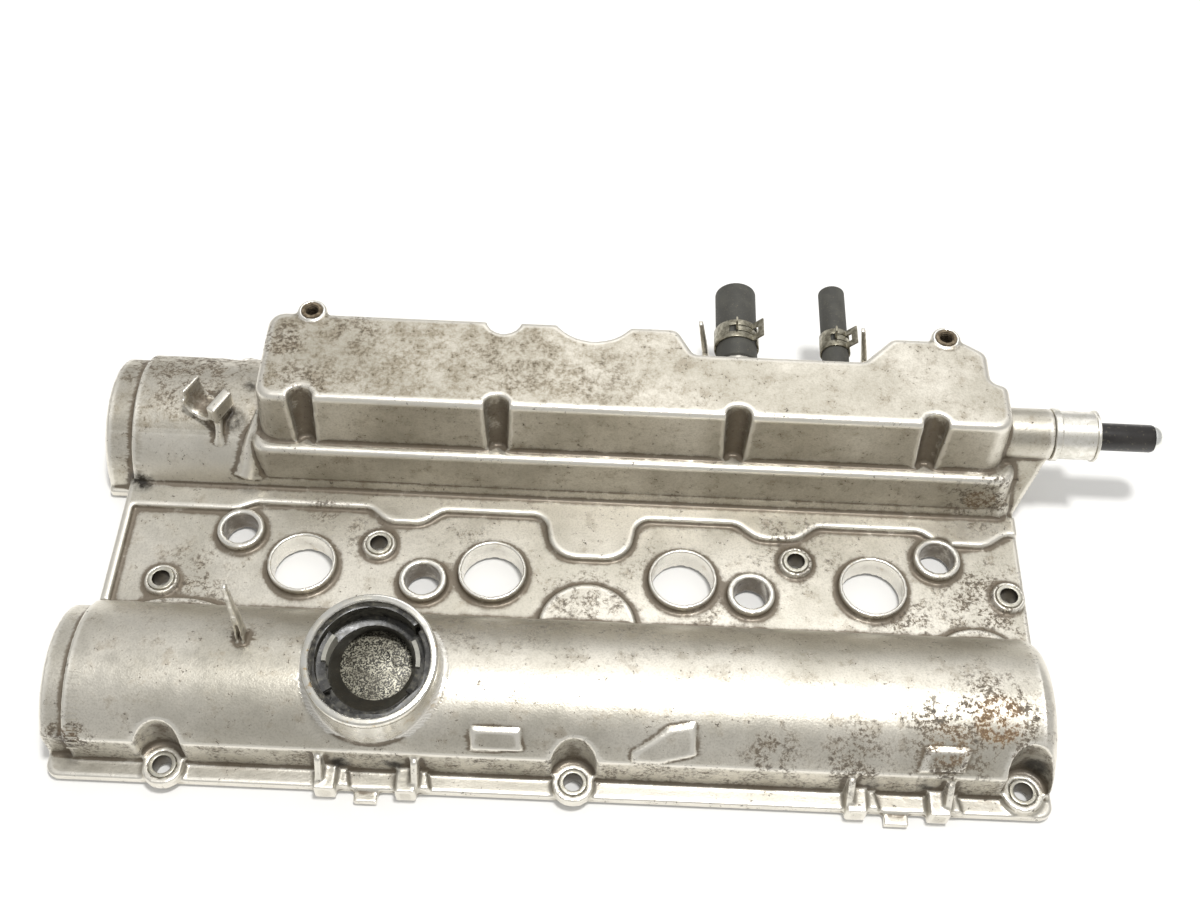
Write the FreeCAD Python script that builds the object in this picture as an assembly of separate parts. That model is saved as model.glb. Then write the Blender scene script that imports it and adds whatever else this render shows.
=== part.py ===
import FreeCAD, Part
import math
import os

# Cast aluminium cover of a four-cylinder engine with two camshafts and two plugs per cylinder.
# X runs along the camshafts, Y from the front hump to the rear hump, Z up.
# The origin is the middle of the row of large plug wells, on the machined sealing face.

V = FreeCAD.Vector

# Plug rows.
plug_pitch = 91.0            # distance between two cylinders
plug_count = 4
large_well_d = 29.2          # bore of a large plug well
large_well_wall = 1.75
small_well_d = 16.8
small_well_wall = 2.9
small_well_outer_x = 32.2    # outer small wells, from the last large well
small_well_outer_y = 17.5
small_well_inner_x = 32.6    # inner small wells, from the inner large well
small_well_inner_y = -6.4
well_height = 13.8           # rims of the wells above the sealing face

# Walls and sealing edge.
wall = 3.5
rail_width = 9.5             # sealing rail round the edge
rail_height = 7.0
flange_thickness = 4.5
flange_lip = 1.0             # lip of the front flange beyond the hump
rear_flange_lip = 3.0

# Camshaft humps: half cylinders whose axes lie in the sealing face.
front_axis_y = -66.0
front_radius = 42.0
rear_axis_y = 81.0
rear_radius = 40.0
band_step = 2.6              # end band, smaller in radius than its hump
front_end = 235.0            # left ends of the two humps
front_band = 11.0
rear_end = 240.0
rear_band = 14.0
band_bevel = 1.4
right_end = 210.0
hump_setback = 2.0           # right end of the humps inside the flange's edge
hump_rounding = 8.0

# Valley between the humps.
valley_left = 228.0
valley_top = 9.3
valley_thickness = 3.5
valley_rim = 4.0             # raised rim on the left edge
valley_rim_height = 2.4
ledge_height = 2.5           # raised ledge along the foot of the breather box
ledge_front_y = 33.8
ledge_bend = 8.0             # radius of the bends in the ledge's front edge
# Lobes of the ledge: middle, front line, half width at the ledge and at the tip, radius at the tip.
ledge_lobes = ((-90.0, 25.9, 18.0, 8.5, 12.0), (0.8, 10.2, 22.5, 18.5, 18.0), (91.5, 25.4, 20.0, 9.5, 14.0),
               (183.0, 26.6, 21.0, 11.0, 14.0))
left_lobe_end = -164.0       # the ledge is wider between the left edge and this place
left_lobe_y = 29.5
left_lobe_slope = 9.0
hump_lobes = ((0.9, -4.2, 22.8), (183.4, -19.5, 16.0), (-190.0, -21.0, 22.0))
hump_foot_y = -26.0          # edge line that the bumps on the hump's side swell from

# Stepped breather box on the rear hump, without the drafts.
box_left = -160.0
box_right = 197.0
box_front_in = 13.5          # front wall behind the rear hump's front line
box_rear_in = 14.0           # rear wall inside the rear hump's rear line
box_top = 70.8
step_z = 38.8                # height of the step in its front wall
step_depth = 5.5
step_side = 2.6
step_right = 5.0
draft = 0.078                # slope of the cast walls
box_corner = 8.0
top_rounding = 3.2
step_rounding = 3.0
bay_left = 46.5              # hose bay in the rear edge
bay_right = 129.0
bay_depth = 15.0
bay_slope_left = 8.0
bay_slope_right = 14.5
right_shoulder_in = 27.0     # stepped right rear corner, from the rear wall
right_tail_x = 189.0
right_tail_in = 7.0
right_rear_x = 178.0
groove_x = (-138.5, -46.0, 67.8, 160.5)
groove_top_r = 6.1
groove_foot_r = 5.0
groove_top_in = 1.0          # groove axis behind the wall, at the top
groove_foot_in = -0.5
small_notch_x = -46.0
small_notch_r = 8.5
small_notch_depth = 8.0

shoulder_r = 9.0             # web between the box's left wall and the rear hump
shoulder_out = 9.0
shoulder_foot_z = 15.0

# Flange and valley bolts with their steel sleeves.
bolt_inset = 5.4
front_bolt_x = (-182.8, -2.1, 196.5)
front_bolt_shift = (0.0, 0.0, 4.7)
rear_bolt_x = (-182.8, -2.1, 196.5)
valley_bolts = ((-201.7, -11.4), (-101.3, 13.3), (100.3, 13.3), (201.6, -1.0))
boss_d = 15.8
front_boss_height = 8.8
valley_boss_height = 11.8
sleeve_d = 12.2
sleeve_bore = 8.3
sleeve_proud = 0.4
socket_d = 21.0              # room for the spanner, cut into the humps
middle_socket_d = 44.0       # wider bay above the middle rear bolt

# Perimeter gasket and well seals.
gasket_edge = 2.9            # from the flange's edge to the groove
gasket_width = 3.6
gasket_depth = 3.0
gasket_proud = 1.2
groove_clearance = 0.15
bolt_land = 1.9              # metal left between a bolt's sleeve and the groove
seal_land = 1.2              # wall of the well inside its seal
seal_wall = 2.4
seal_depth = 3.2

# Oil filler neck, leaning to the front.
neck_x = -91.0
neck_base_y = -67.0
neck_sink = 14.0             # foot of the neck's axis below the top of the front hump
neck_length = 29.0
neck_lean = 10.0
neck_d = 56.6
neck_foot_d = 63.0
neck_foot_flare = 26.0       # length of the tapered foot below the rim's cylinder
neck_rim = 4.0
neck_rim_bevel = 0.8
neck_bore = 52.0
neck_bore_depth = 17.0
neck_throat = 42.0
collar_thickness = 2.2
collar_floor = 3.0
collar_mouth = 39.0
collar_clearance = 0.15
collar_gap = 3.4
ramp_depth = 4.2
ramp_drop = 4.0
ramp_height = 3.0
ramp_sweep = 70.0

# Sheet baffle below the neck, hung from two cast pads.
tray_width = 52.0
tray_front = 18.5            # tray's front edge, from the front hump's axis
tray_play = 2.6              # room between its rear edge and the tunnel's wall
tray_sheet = 1.2
tray_drop = 6.0
tray_flange = 11.0
tray_flange_depth = 30.0
pad_d = 9.0
pad_drop = 12.0              # the pads end this far below the top of the front hump
rivet_d = 4.0
rivet_head = 7.0
rivet_head_height = 1.6

# Web below the breather chamber and the separator sheet screwed under it.
web_drop = 9.0               # web below the top of the rear hump
web_thickness = 3.0
window_left = -148.0
window_right = 186.0
window_width = 24.0
window_bar = 14.0            # bar left between the two windows
separator_play = 0.5         # room between the separator sheet and the tunnel's wall
separator_margin = 7.0
separator_sheet = 1.2
screw_columns = 4
screw_d = 4.0
screw_head = 7.6
screw_head_height = 2.4
screw_length = 3.2

# Ears of the breather box with threaded inserts.
ear_x = (-139.8, 169.7)
ear_out = 0.8                # ear's axis behind the rear wall
ear_d = 14.6
ear_proud = 1.0
ear_bevel = 1.4
ear_root_z = 22.0
insert_d = 10.0
insert_bore = 6.8
insert_length = 14.0

# Hose spigots, hoses and spring clamps behind the box.
hose_z = 49.6
large_hose_x = 69.5
small_hose_x = 119.0
hose_boss_wall = 3.2
hose_boss_out = 9.0          # end of the hose boss behind the bay's floor
spigot_wall = 1.5
spigot_grip = 9.0            # length pressed into the casting
spigot_reach = 24.0
large_hose_d = 20.6
large_hose_wall = 3.0
small_hose_d = 13.4
small_hose_wall = 2.6
hose_gap = 1.0
large_hose_length = 47.4
small_hose_length = 51.4
clamp_sheet = 0.9
clamp_width = 10.8
clamp_from_boss = 11.2
clamp_ear = 6.5
clamp_lap = 24.0             # half angle over which fork and tongue pass each other
clamp_turn = 70.0            # direction of the ears, from the right
clamp_mouth = 44.0
clamp_play = 0.25

# Side outlet with its pressed tube, hose stub and plug.
outlet_front = 11.0          # outlet's axis in front of the rear hump's axis
outlet_z = 47.0
outlet_boss_d = 24.6
outlet_boss_x = 221.0
tube_d = 23.8
tube_bore = 13.8
tube_collar_d = 25.6
tube_collar = 2.0
tube_root = 9.0
tube_root_d = 19.0
tube_reach = 22.0
side_hose_d = 13.6
side_hose_wall = 2.3
side_hose_seat = 14.0
side_hose_reach = 31.6
plug_dome = 3.4
plug_length = 9.0
gusset_thickness = 10.0
gusset_foot_x = 209.6
gusset_foot_y = 46.5
gusset_foot_z = 9.0

# Slender cast posts: one on the front hump, two behind the box. Each is a foot point and a lean to
# the left and to the rear over its whole height.
front_posts = ((-150.5, -60.0, 1.3, 4.8),)
rear_posts = ((57.4, 4.0, 7.0, 2.0), (137.6, 4.0, 7.0, 2.0))   # places behind the rear wall
post_height = 40.0
post_foot = (4.0, 8.0)       # width and depth
post_tip = (2.2, 3.2)
post_recess = (1.8, 14.0)    # width and height of the recess in its front face
post_recess_depth = 3.0

# Cable cradle on the rear hump.
cradle_x = -189.5
cradle_front = 12.0          # cradle in front of the rear hump's axis
cradle_lift = 8.0            # and above its top
cradle_r = 9.3
cradle_wall = 2.0
cradle_length = 14.0
cradle_turn = -28.0          # its axis, turned from the Y direction
prong_height = 5.0
block_width = 5.0
cradle_rib = 3.4
cradle_rib_front = 48.0

# Lugs on the front flange.
lug_groups = ((-110.9, -75.1), (122.5, 158.4))
lug_d = 8.8
lug_height = 8.4
lug_reach = 3.0
lug_fin_height = 20.0
lug_fin_thickness = 2.6
tab_width = 10.6
tab_reach = 5.5
tab_thickness = 3.2
gusset_length = 5.0

# Raised pads on the front hump: their outlines as X and Z, seen from the front.
hump_pads = (((-46.5, 27.7), (-47.0, 34.2), (-26.1, 34.2), (-25.0, 28.0)),
             ((24.1, 15.5), (23.4, 29.1), (37.9, 36.1), (49.4, 37.3), (50.0, 29.0), (38.0, 26.5)),
             ((147.3, 26.8), (149.9, 34.0), (168.4, 34.0), (166.2, 27.5)))
pad_rise = 1.3

# The sizes below follow from the ones above.
front_edge = front_axis_y - front_radius - flange_lip
rear_edge = rear_axis_y + rear_radius + rear_flange_lip
front_bolts = [(x, front_edge + bolt_inset + s) for x, s in zip(front_bolt_x, front_bolt_shift)]
rear_bolts = [(x, rear_edge - bolt_inset) for x in rear_bolt_x]
edge_bolts = front_bolts + rear_bolts + [valley_bolts[-1]]
valley_under = valley_top - valley_thickness
row_half = plug_pitch * (plug_count - 1) / 2
large_wells = [(i * plug_pitch - row_half, 0.0) for i in range(plug_count)]
outer_x = row_half + small_well_outer_x
inner_x = row_half - plug_pitch + small_well_inner_x
small_wells = [(-outer_x, small_well_outer_y), (-inner_x, small_well_inner_y),
               (inner_x, small_well_inner_y), (outer_x, small_well_outer_y)]
hump_right = right_end - hump_setback
front_lip_x = front_band - front_end
rear_lip_x = rear_band - rear_end
spigot_large_d = large_hose_d - 2 * large_hose_wall
spigot_small_d = small_hose_d - 2 * small_hose_wall
box_front = rear_axis_y - rear_radius + box_front_in
box_rear = rear_axis_y + rear_radius - box_rear_in
bay_floor_y = box_rear - bay_depth
right_shoulder_y = box_rear - right_shoulder_in
right_tail_y = box_rear - right_tail_in
web_z = rear_radius - web_drop
separator_half = math.sqrt((rear_radius - wall) ** 2 - web_z ** 2) - separator_play
ear_y = box_rear + ear_out
hose_boss_y = bay_floor_y + hose_boss_out
large_hose_end = hose_boss_y + large_hose_length
small_hose_end = hose_boss_y + small_hose_length
outlet_y = rear_axis_y - outlet_front
cradle_y = rear_axis_y - cradle_front
cradle_z = rear_radius + cradle_lift
posts = list(front_posts) + [(x, box_rear + y, left, back) for x, y, left, back in rear_posts]
neck_base_z = front_radius - neck_sink
pad_foot_z = front_radius - pad_drop
tray_half = math.sqrt((front_radius - wall) ** 2 - (pad_foot_z - tray_drop) ** 2) - tray_play
tray_front_y = front_axis_y - tray_front
tray_rear_y = front_axis_y + tray_half
deep = rear_edge - front_edge                  # longer than any cut through the cover


def cylinder(x, y, z0, z1, r):
    return Part.makeCylinder(r, z1 - z0, V(x, y, z0))


def ring(x, y, z0, z1, r_out, r_in):
    return cylinder(x, y, z0, z1, r_out).cut(cylinder(x, y, z0 - 1, z1 + 1, r_in))


def rod(start, way, length, r):
    return Part.makeCylinder(r, length, start, way)


def block(x0, x1, y0, y1, z0, z1):
    return Part.makeBox(x1 - x0, y1 - y0, z1 - z0, V(x0, y0, z0))


def joined(shapes):
    first = shapes[0]
    return first.fuse(shapes[1:]) if len(shapes) > 1 else first


def outline(points, z, grow=0.0):
    """Closed wire at height z through rounded corners (x, y, radius), moved outward by grow."""
    corners = []
    for i, (x, y, r) in enumerate(points):
        before = points[i - 1]
        after = points[(i + 1) % len(points)]
        a = V(x - before[0], y - before[1], 0).normalize()
        b = V(after[0] - x, after[1] - y, 0).normalize()
        mitre = V(a.y + b.y, -a.x - b.x, 0) * (grow / (1 + a.dot(b)))
        convex = a.x * b.y - a.y * b.x > 0
        radius = max(r + grow if convex else r - grow, 0.3)
        corners.append((V(x, y, z) + mitre, a, b, radius))
    edges = []
    starts = []
    ends = []
    for i, (p, a, b, radius) in enumerate(corners):
        half = math.acos(max(-1.0, min(1.0, a.dot(b)))) / 2
        room = min((p - corners[i - 1][0]).Length, (corners[(i + 1) % len(corners)][0] - p).Length)
        tangent = min(radius * math.tan(half), 0.49 * room)
        fitted = tangent / math.tan(half)
        middle = p + (b - a).normalize() * (fitted * (1 / math.cos(half) - 1))
        starts.append(p - a * tangent)
        ends.append(p + b * tangent)
        edges.append(Part.Arc(starts[-1], middle, ends[-1]).toShape())
    loop = []
    for i, arc in enumerate(edges):
        loop.append(arc)
        following = starts[(i + 1) % len(edges)]
        loop.append(Part.LineSegment(ends[i], following).toShape())
    return Part.Wire(loop)


def prism(points, z0, z1, grow0=0.0, grow1=None):
    """Solid between two outlines; grow1 gives the upper one another size."""
    if grow1 is None or abs(grow1 - grow0) < 1e-9:
        return Part.Face(outline(points, z0, grow0)).extrude(V(0, 0, z1 - z0))
    return Part.makeLoft([outline(points, z0, grow0), outline(points, z1, grow1)], True, True)


def plate(points, start, way):
    """Flat plate from a polygon of 3-D points, thickened along way."""
    wire = Part.makePolygon([V(*p) for p in points] + [V(*points[0])])
    return Part.Face(wire).extrude(way).translated(start)


def rounded_edges(solid, radius, chosen):
    edges = [e for e in solid.Edges if chosen(e)]
    return solid.makeFillet(radius, edges)


def bevelled_edges(solid, size, chosen):
    edges = [e for e in solid.Edges if chosen(e)]
    return solid.makeChamfer(size, edges)


def at_height(z):
    return lambda e: all(abs(v.Z - z) < 1e-6 for v in e.Vertexes) and abs(e.CenterOfMass.z - z) < 1e-6


def flange_points():
    inner_front = front_axis_y + front_radius
    inner_rear = rear_axis_y - rear_radius
    corner = 6.0
    return [(-front_end, front_edge, corner), (right_end, front_edge, corner),
            (right_end, rear_edge, corner), (-rear_end, rear_edge, corner),
            (-rear_end, inner_rear, 2.0), (-valley_left, inner_rear, 2.0),
            (-valley_left, inner_front, 2.0), (-front_end, inner_front, 2.0)]


def top_points():
    """Outline of the breather box's top plate."""
    return [(box_left, box_front, box_corner), (box_right, box_front, box_corner),
            (box_right, right_shoulder_y, 4.0), (right_tail_x, right_shoulder_y + 3.0, 5.0),
            (right_tail_x, right_tail_y, 6.0), (right_rear_x, box_rear, 5.0),
            (bay_right + bay_slope_right, box_rear, 5.0),
            (bay_right, bay_floor_y, 5.0), (bay_left, bay_floor_y, 4.0),
            (bay_left - bay_slope_left, box_rear, 5.0), (box_left, box_rear, box_corner)]


def step_points():
    """Outline of the lower block at the height of the step."""
    rise = (box_top - step_z) * draft
    left = box_left - rise - step_side
    right = box_right + rise + step_right
    front = box_front - rise - step_depth
    rear = box_rear + rise
    return [(left, front, box_corner), (right, front, box_corner),
            (right, rear, box_corner), (left, rear, box_corner)]


def hump(axis_y, radius, left, right):
    body = rod(V(left, axis_y, 0), V(1, 0, 0), right - left, radius)
    return rounded_edges(body, hump_rounding, lambda e: abs(e.CenterOfMass.x - right) < 1e-6
                         and abs(e.BoundBox.XLength) < 1e-6)


def band(axis_y, radius, left, right):
    body = rod(V(left, axis_y, 0), V(1, 0, 0), right - left, radius)
    return bevelled_edges(body, band_bevel, lambda e: abs(e.CenterOfMass.x - left) < 1e-6
                          and abs(e.BoundBox.XLength) < 1e-6)


def lobe(x, tip_y, half_width, base_y, z0, z1):
    """Round bump that swells from the line base_y to tip_y."""
    rise = base_y - tip_y
    radius = (half_width ** 2 + rise ** 2) / (2 * abs(rise))
    centre = tip_y + math.copysign(radius, rise)
    return cylinder(x, centre, z0, z1, radius)


def grooves(extra):
    """Tool grooves in the front wall of the box, widened by extra."""
    foot_y = box_front - (box_top - step_z) * draft
    tools = []
    for x in groove_x:
        low = V(x, foot_y + groove_foot_in, step_z)
        high = V(x, box_front + groove_top_in, box_top)
        way = high - low
        over = 1.3
        top_r = groove_foot_r + (groove_top_r - groove_foot_r) * over
        tools.append(Part.makeCone(groove_foot_r + extra, top_r + extra, way.Length * over, low, way))
    return tools


def rear_notches(extra, z0):
    """Bays in the rear of the box: one above the middle bolt, one narrow one beside it."""
    wide = cylinder(*rear_bolts[1], z0, box_top + deep, middle_socket_d / 2 + extra)
    centre = box_rear + small_notch_r - small_notch_depth
    narrow = cylinder(small_notch_x, centre, z0, box_top + deep, small_notch_r + extra)
    return [wide, narrow]


def breather_box():
    total = (box_top - step_z) * draft
    upper = prism(top_points(), step_z - 6, box_top, total + 6 * draft, 0.0)
    upper = rounded_edges(upper, top_rounding, at_height(box_top))
    lower = prism(step_points(), 2.0, step_z, (step_z - 2.0) * draft, 0.0)
    lower = rounded_edges(lower, step_rounding, at_height(step_z))
    return upper.fuse(lower).cut(joined(grooves(0.0) + rear_notches(0.0, -1.0)))


def chamber():
    """Hollow of the breather box above its web."""
    floor = web_z + web_thickness
    roof = box_top - wall
    low = (box_top - floor) * draft - wall
    high = wall * draft - wall
    hollow = prism(top_points(), floor, roof, low, high)
    keep = grooves(wall) + rear_notches(wall, -1.0)
    for x in ear_x:
        keep.append(cylinder(x, ear_y, -1.0, box_top + 1, ear_d / 2 + 1.0))
    return hollow.cut(joined(keep))


def windows():
    middle = (window_left + window_right) / 2
    shapes = []
    for a, b in ((window_left, middle - window_bar / 2), (middle + window_bar / 2, window_right)):
        shapes.append(block(a, b, rear_axis_y - window_width / 2, rear_axis_y + window_width / 2,
                            web_z - 1, web_z + web_thickness + 1))
    return shapes


def neck_way():
    lean = math.radians(neck_lean)
    return V(0, -math.sin(lean), math.cos(lean))


def neck_point(distance):
    """Point on the neck's axis, measured down from the rim."""
    return V(neck_x, neck_base_y, neck_base_z) + neck_way() * (neck_length - distance)


def neck_outside():
    rim = rod(neck_point(neck_rim), neck_way(), neck_rim, neck_d / 2)
    foot = Part.makeCone(neck_foot_d / 2, neck_d / 2, neck_foot_flare,
                         neck_point(neck_rim + neck_foot_flare), neck_way())
    rim = bevelled_edges(rim, neck_rim_bevel, lambda e: (e.CenterOfMass - neck_point(0)).Length < 1e-4)
    return rim.fuse(foot)


def neck_inside():
    seat = rod(neck_point(neck_bore_depth), neck_way(), neck_bore_depth + 1, neck_bore / 2)
    throat = rod(neck_point(neck_length), neck_way(), neck_length, neck_throat / 2)
    return seat.fuse(throat)


def end_tunnel(axis_y, radius, left, lip, right):
    """Space for one camshaft: wide under the hump, narrower under the end band."""
    main = rod(V(lip, axis_y, 0), V(1, 0, 0), right - wall - lip, radius - wall)
    end = rod(V(left + wall, axis_y, 0), V(1, 0, 0), right - wall - left - wall, radius - band_step - wall)
    return main.fuse(end)


def solid_outside():
    parts = []
    flange = prism(flange_points(), 0.0, flange_thickness)
    parts.append(flange)
    parts.append(hump(front_axis_y, front_radius, front_lip_x, hump_right))
    parts.append(band(front_axis_y, front_radius - band_step, -front_end, front_lip_x + 1))
    parts.append(hump(rear_axis_y, rear_radius, rear_lip_x, hump_right))
    parts.append(band(rear_axis_y, rear_radius - band_step, -rear_end, rear_lip_x + 1))
    parts.append(block(-valley_left, right_end, front_axis_y, rear_axis_y, 0.0, valley_top))
    parts.append(breather_box())
    parts.append(neck_outside())
    whole = joined(parts)
    return whole.common(block(-deep * 2, deep * 2, -deep, deep, 0.0, deep))


def valley_relief():
    """Raised rim, raised ledge at the foot of the box and the round bumps on both sides."""
    low = valley_under
    high = valley_top + ledge_height
    inner_front = front_axis_y + front_radius
    inner_rear = rear_axis_y - rear_radius
    edge = [(-valley_left, left_lobe_y, valley_rim), (left_lobe_end - left_lobe_slope, left_lobe_y, ledge_bend),
            (left_lobe_end, ledge_front_y, ledge_bend)]
    for x, tip, half, tip_half, tip_radius in ledge_lobes:
        edge += [(x - half, ledge_front_y, ledge_bend), (x - tip_half, tip, tip_radius),
                 (x + tip_half, tip, tip_radius), (x + half, ledge_front_y, ledge_bend)]
    edge += [(right_end, ledge_front_y, 1.0), (right_end, inner_rear + wall, 1.0),
             (-valley_left, inner_rear + wall, 1.0)]
    shapes = [prism(edge, low, high)]
    side = block(-valley_left, right_end, front_axis_y, ledge_front_y, low - 1, high + 1)
    for x, tip, half in hump_lobes:
        shapes.append(lobe(x, tip, half, hump_foot_y, low, high).common(side))
    rim_top = valley_top + valley_rim_height
    shapes.append(block(-valley_left, -valley_left + valley_rim, inner_front, inner_rear, low, rim_top))
    return shapes


def shoulder():
    """Web that swells from the box's left wall down onto the rear hump."""
    low = V(box_left - shoulder_out, rear_axis_y - rear_radius + shoulder_r, shoulder_foot_z)
    high = V(box_left - step_side, box_front + shoulder_r, step_z + shoulder_r)
    return Part.makeCone(shoulder_r, 1.0, (high - low).Length, low, high - low)


def ears():
    shapes = []
    for x in ear_x:
        body = cylinder(x, ear_y, ear_root_z, box_top + ear_proud, ear_d / 2)
        shapes.append(bevelled_edges(body, ear_bevel, at_height(box_top + ear_proud)))
    return shapes


def hose_bosses():
    shapes = []
    for x, d in ((large_hose_x, spigot_large_d), (small_hose_x, spigot_small_d)):
        shapes.append(rod(V(x, bay_floor_y - wall, hose_z), V(0, 1, 0),
                          hose_boss_y - bay_floor_y + wall, d / 2 + hose_boss_wall))
    return shapes


def outlet_boss():
    start = V(box_right - 2 * wall, outlet_y, outlet_z)
    boss = rod(start, V(1, 0, 0), outlet_boss_x - start.x, outlet_boss_d / 2)
    low_z = gusset_foot_z
    high_z = outlet_z - outlet_boss_d / 4
    x_in = box_right - wall

    def section(z, x_out, front):
        corners = [V(x_in, front, z), V(x_out, front, z), V(x_out, front + gusset_thickness, z),
                   V(x_in, front + gusset_thickness, z)]
        return Part.makePolygon(corners + [corners[0]])

    web = Part.makeLoft([section(low_z, gusset_foot_x, gusset_foot_y),
                         section(high_z, outlet_boss_x - 1.0, outlet_y - outlet_boss_d / 2 + 1.0)], True, True)
    return boss.fuse(web)


def surface_z(axis_y, radius, y):
    return math.sqrt(radius ** 2 - (y - axis_y) ** 2)


def post(x, y, lean_left, lean_back):
    """Slender tapered post with a recess low in its front face."""
    front = y < 0
    axis_y, radius = (front_axis_y, front_radius) if front else (rear_axis_y, rear_radius)
    root = surface_z(axis_y, radius, y)

    def section(z, along, size):
        cx = x - lean_left * along
        cy = y + lean_back * along
        w, d = size[0] / 2, size[1]
        corners = [V(cx - w, cy, z), V(cx + w, cy, z), V(cx + w, cy + d, z), V(cx - w, cy + d, z)]
        return Part.makePolygon(corners + [corners[0]])

    below = wall / post_height
    body = Part.makeLoft([section(root - wall, -below, post_foot),
                          section(root + post_height, 1.0, post_tip)], True, True)
    width, height = post_recess
    recess = block(x - width / 2, x + width / 2, y - wall, y + post_recess_depth, root + 1.0, root + height)
    return body.cut(recess)


def cradle():
    """Open trough with two upright arms, carried by a rib on the rear hump."""
    back = cradle_length / 2
    shell = rod(V(0, -back, 0), V(0, 1, 0), cradle_length, cradle_r)
    shell = shell.cut(rod(V(0, -deep, 0), V(0, 1, 0), 2 * deep, cradle_r - cradle_wall))
    shell = shell.common(block(-cradle_r, cradle_r, -back, back, -cradle_r, 0.0))
    prong = block(-cradle_r, cradle_wall - cradle_r, -back + cradle_wall, back, -1.0, prong_height)
    arm = block(cradle_r - cradle_wall, cradle_r - cradle_wall + block_width, -back, back,
                -cradle_r / 2, prong_height)
    foot = block(cradle_r - block_width - 1, cradle_r + 1, -back + cradle_wall, back - cradle_wall,
                 -cradle_r * 2, -1.0)
    foot = foot.cut(rod(V(0, -deep, 0), V(0, 1, 0), 2 * deep, cradle_r - cradle_wall / 2))
    saddle = shell.fuse([prong, arm, foot])
    turn = FreeCAD.Placement(V(cradle_x, cradle_y, cradle_z), FreeCAD.Rotation(V(0, 0, 1), cradle_turn))
    saddle = saddle.transformGeometry(turn.toMatrix())
    rib_x = cradle_x + cradle_r - block_width / 2
    side = [(rib_x, cradle_rib_front, rear_radius / 2), (rib_x, cradle_y - back, cradle_z - cradle_r / 2),
            (rib_x, cradle_y + back, cradle_z - cradle_r / 2), (rib_x, cradle_y + back, rear_radius - wall),
            (rib_x, cradle_y - back, rear_radius - wall - 2.0)]
    return [saddle, plate(side, V(-cradle_rib / 2, 0, 0), V(cradle_rib, 0, 0))]


def lugs():
    """Barrels, fins, gussets and the middle tab of each lug group on the front flange."""
    shapes = []
    y = front_edge + lug_d / 2 - lug_reach / 2
    for left, right in lug_groups:
        for x, side in ((left, 1), (right, -1)):
            shapes.append(cylinder(x, y, 0.0, lug_height, lug_d / 2))
            outer = x - side * lug_d / 2
            low_x = min(outer, outer + side * lug_fin_thickness)
            shapes.append(block(low_x, low_x + lug_fin_thickness, front_edge + 1.0,
                                front_axis_y - front_radius / 2, 2.0, lug_fin_height))
            inner = x + side * lug_d / 2
            foot = [(inner - side, 0, 0), (inner + side * gusset_length, 0, 0), (inner - side, 0, lug_height)]
            shapes.append(plate(foot, V(0, front_edge, 0), V(0, lug_d / 2, 0)))
        middle = (left + right) / 2
        shapes.append(block(middle - tab_width / 2, middle + tab_width / 2, front_edge - tab_reach,
                            front_edge + rail_width / 2, 0.0, tab_thickness))
    return shapes


def pads():
    """Raised pads that follow the curve of the front hump."""
    shapes = []
    skin = rod(V(front_lip_x, front_axis_y, 0), V(1, 0, 0), hump_right - front_lip_x, front_radius + pad_rise)
    for corners in hump_pads:
        column = plate([(x, 0, z) for x, z in corners], V(0, front_edge - wall, 0), V(0, front_radius + wall, 0))
        shapes.append(skin.common(column))
    return shapes


def bosses():
    shapes = []
    for x, y in front_bolts + rear_bolts:
        shapes.append(cylinder(x, y, 0.0, front_boss_height, boss_d / 2))
    for x, y in valley_bolts:
        shapes.append(cylinder(x, y, 0.0, valley_boss_height, boss_d / 2))
    for x, y in large_wells:
        shapes.append(cylinder(x, y, 0.0, well_height, large_well_d / 2 + large_well_wall))
    for x, y in small_wells:
        shapes.append(cylinder(x, y, 0.0, well_height, small_well_d / 2 + small_well_wall))
    return shapes


def seal_radius(bore):
    return bore / 2 + seal_land + seal_wall


def sealing_rail():
    """Metal kept at the sealing face: the rail, the bolt posts and the posts of the wells."""
    inner = prism(flange_points(), -2.0, rail_height + 1, -rail_width)
    post = sleeve_d / 2 + bolt_land + gasket_width + bolt_land
    for x, y in edge_bolts:
        inner = inner.cut(cylinder(x, y, -3.0, rail_height + 2, post))
    rail = prism(flange_points(), -1.0, rail_height, 1.0).cut(inner)
    posts = [rail]
    for x, y in front_bolts + rear_bolts:
        posts.append(cylinder(x, y, -1.0, deep, socket_d / 2 + wall))
    for x, y in valley_bolts:
        posts.append(cylinder(x, y, -1.0, valley_top, boss_d / 2))
    for x, y in large_wells:
        posts.append(cylinder(x, y, -1.0, valley_top, seal_radius(large_well_d) + bolt_land))
    for x, y in small_wells:
        posts.append(cylinder(x, y, -1.0, valley_top, seal_radius(small_well_d) + bolt_land))
    return posts


def baffle_pads():
    """Two pads hanging from the front tunnel's roof beside the filler neck."""
    shapes = []
    reach = tray_width / 2 + tray_flange / 2
    for side in (-1, 1):
        shapes.append(cylinder(neck_x + side * reach, front_axis_y, pad_foot_z,
                               front_radius - wall / 2, pad_d / 2))
    return shapes


def solid_inside():
    front = end_tunnel(front_axis_y, front_radius, -front_end, front_lip_x, hump_right)
    rear = end_tunnel(rear_axis_y, rear_radius, -rear_end, rear_lip_x, hump_right)
    room = block(box_left, box_right, rear_axis_y - rear_radius, rear_axis_y + rear_radius, web_z, deep)
    rear = rear.cut(room)
    under = block(-valley_left + wall, right_end - wall, front_axis_y, rear_axis_y, -1.0, valley_under)
    hollow = front.fuse([rear, under])
    hollow = hollow.cut(joined(sealing_rail() + baffle_pads()))
    return hollow.fuse([chamber()] + windows())


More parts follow.
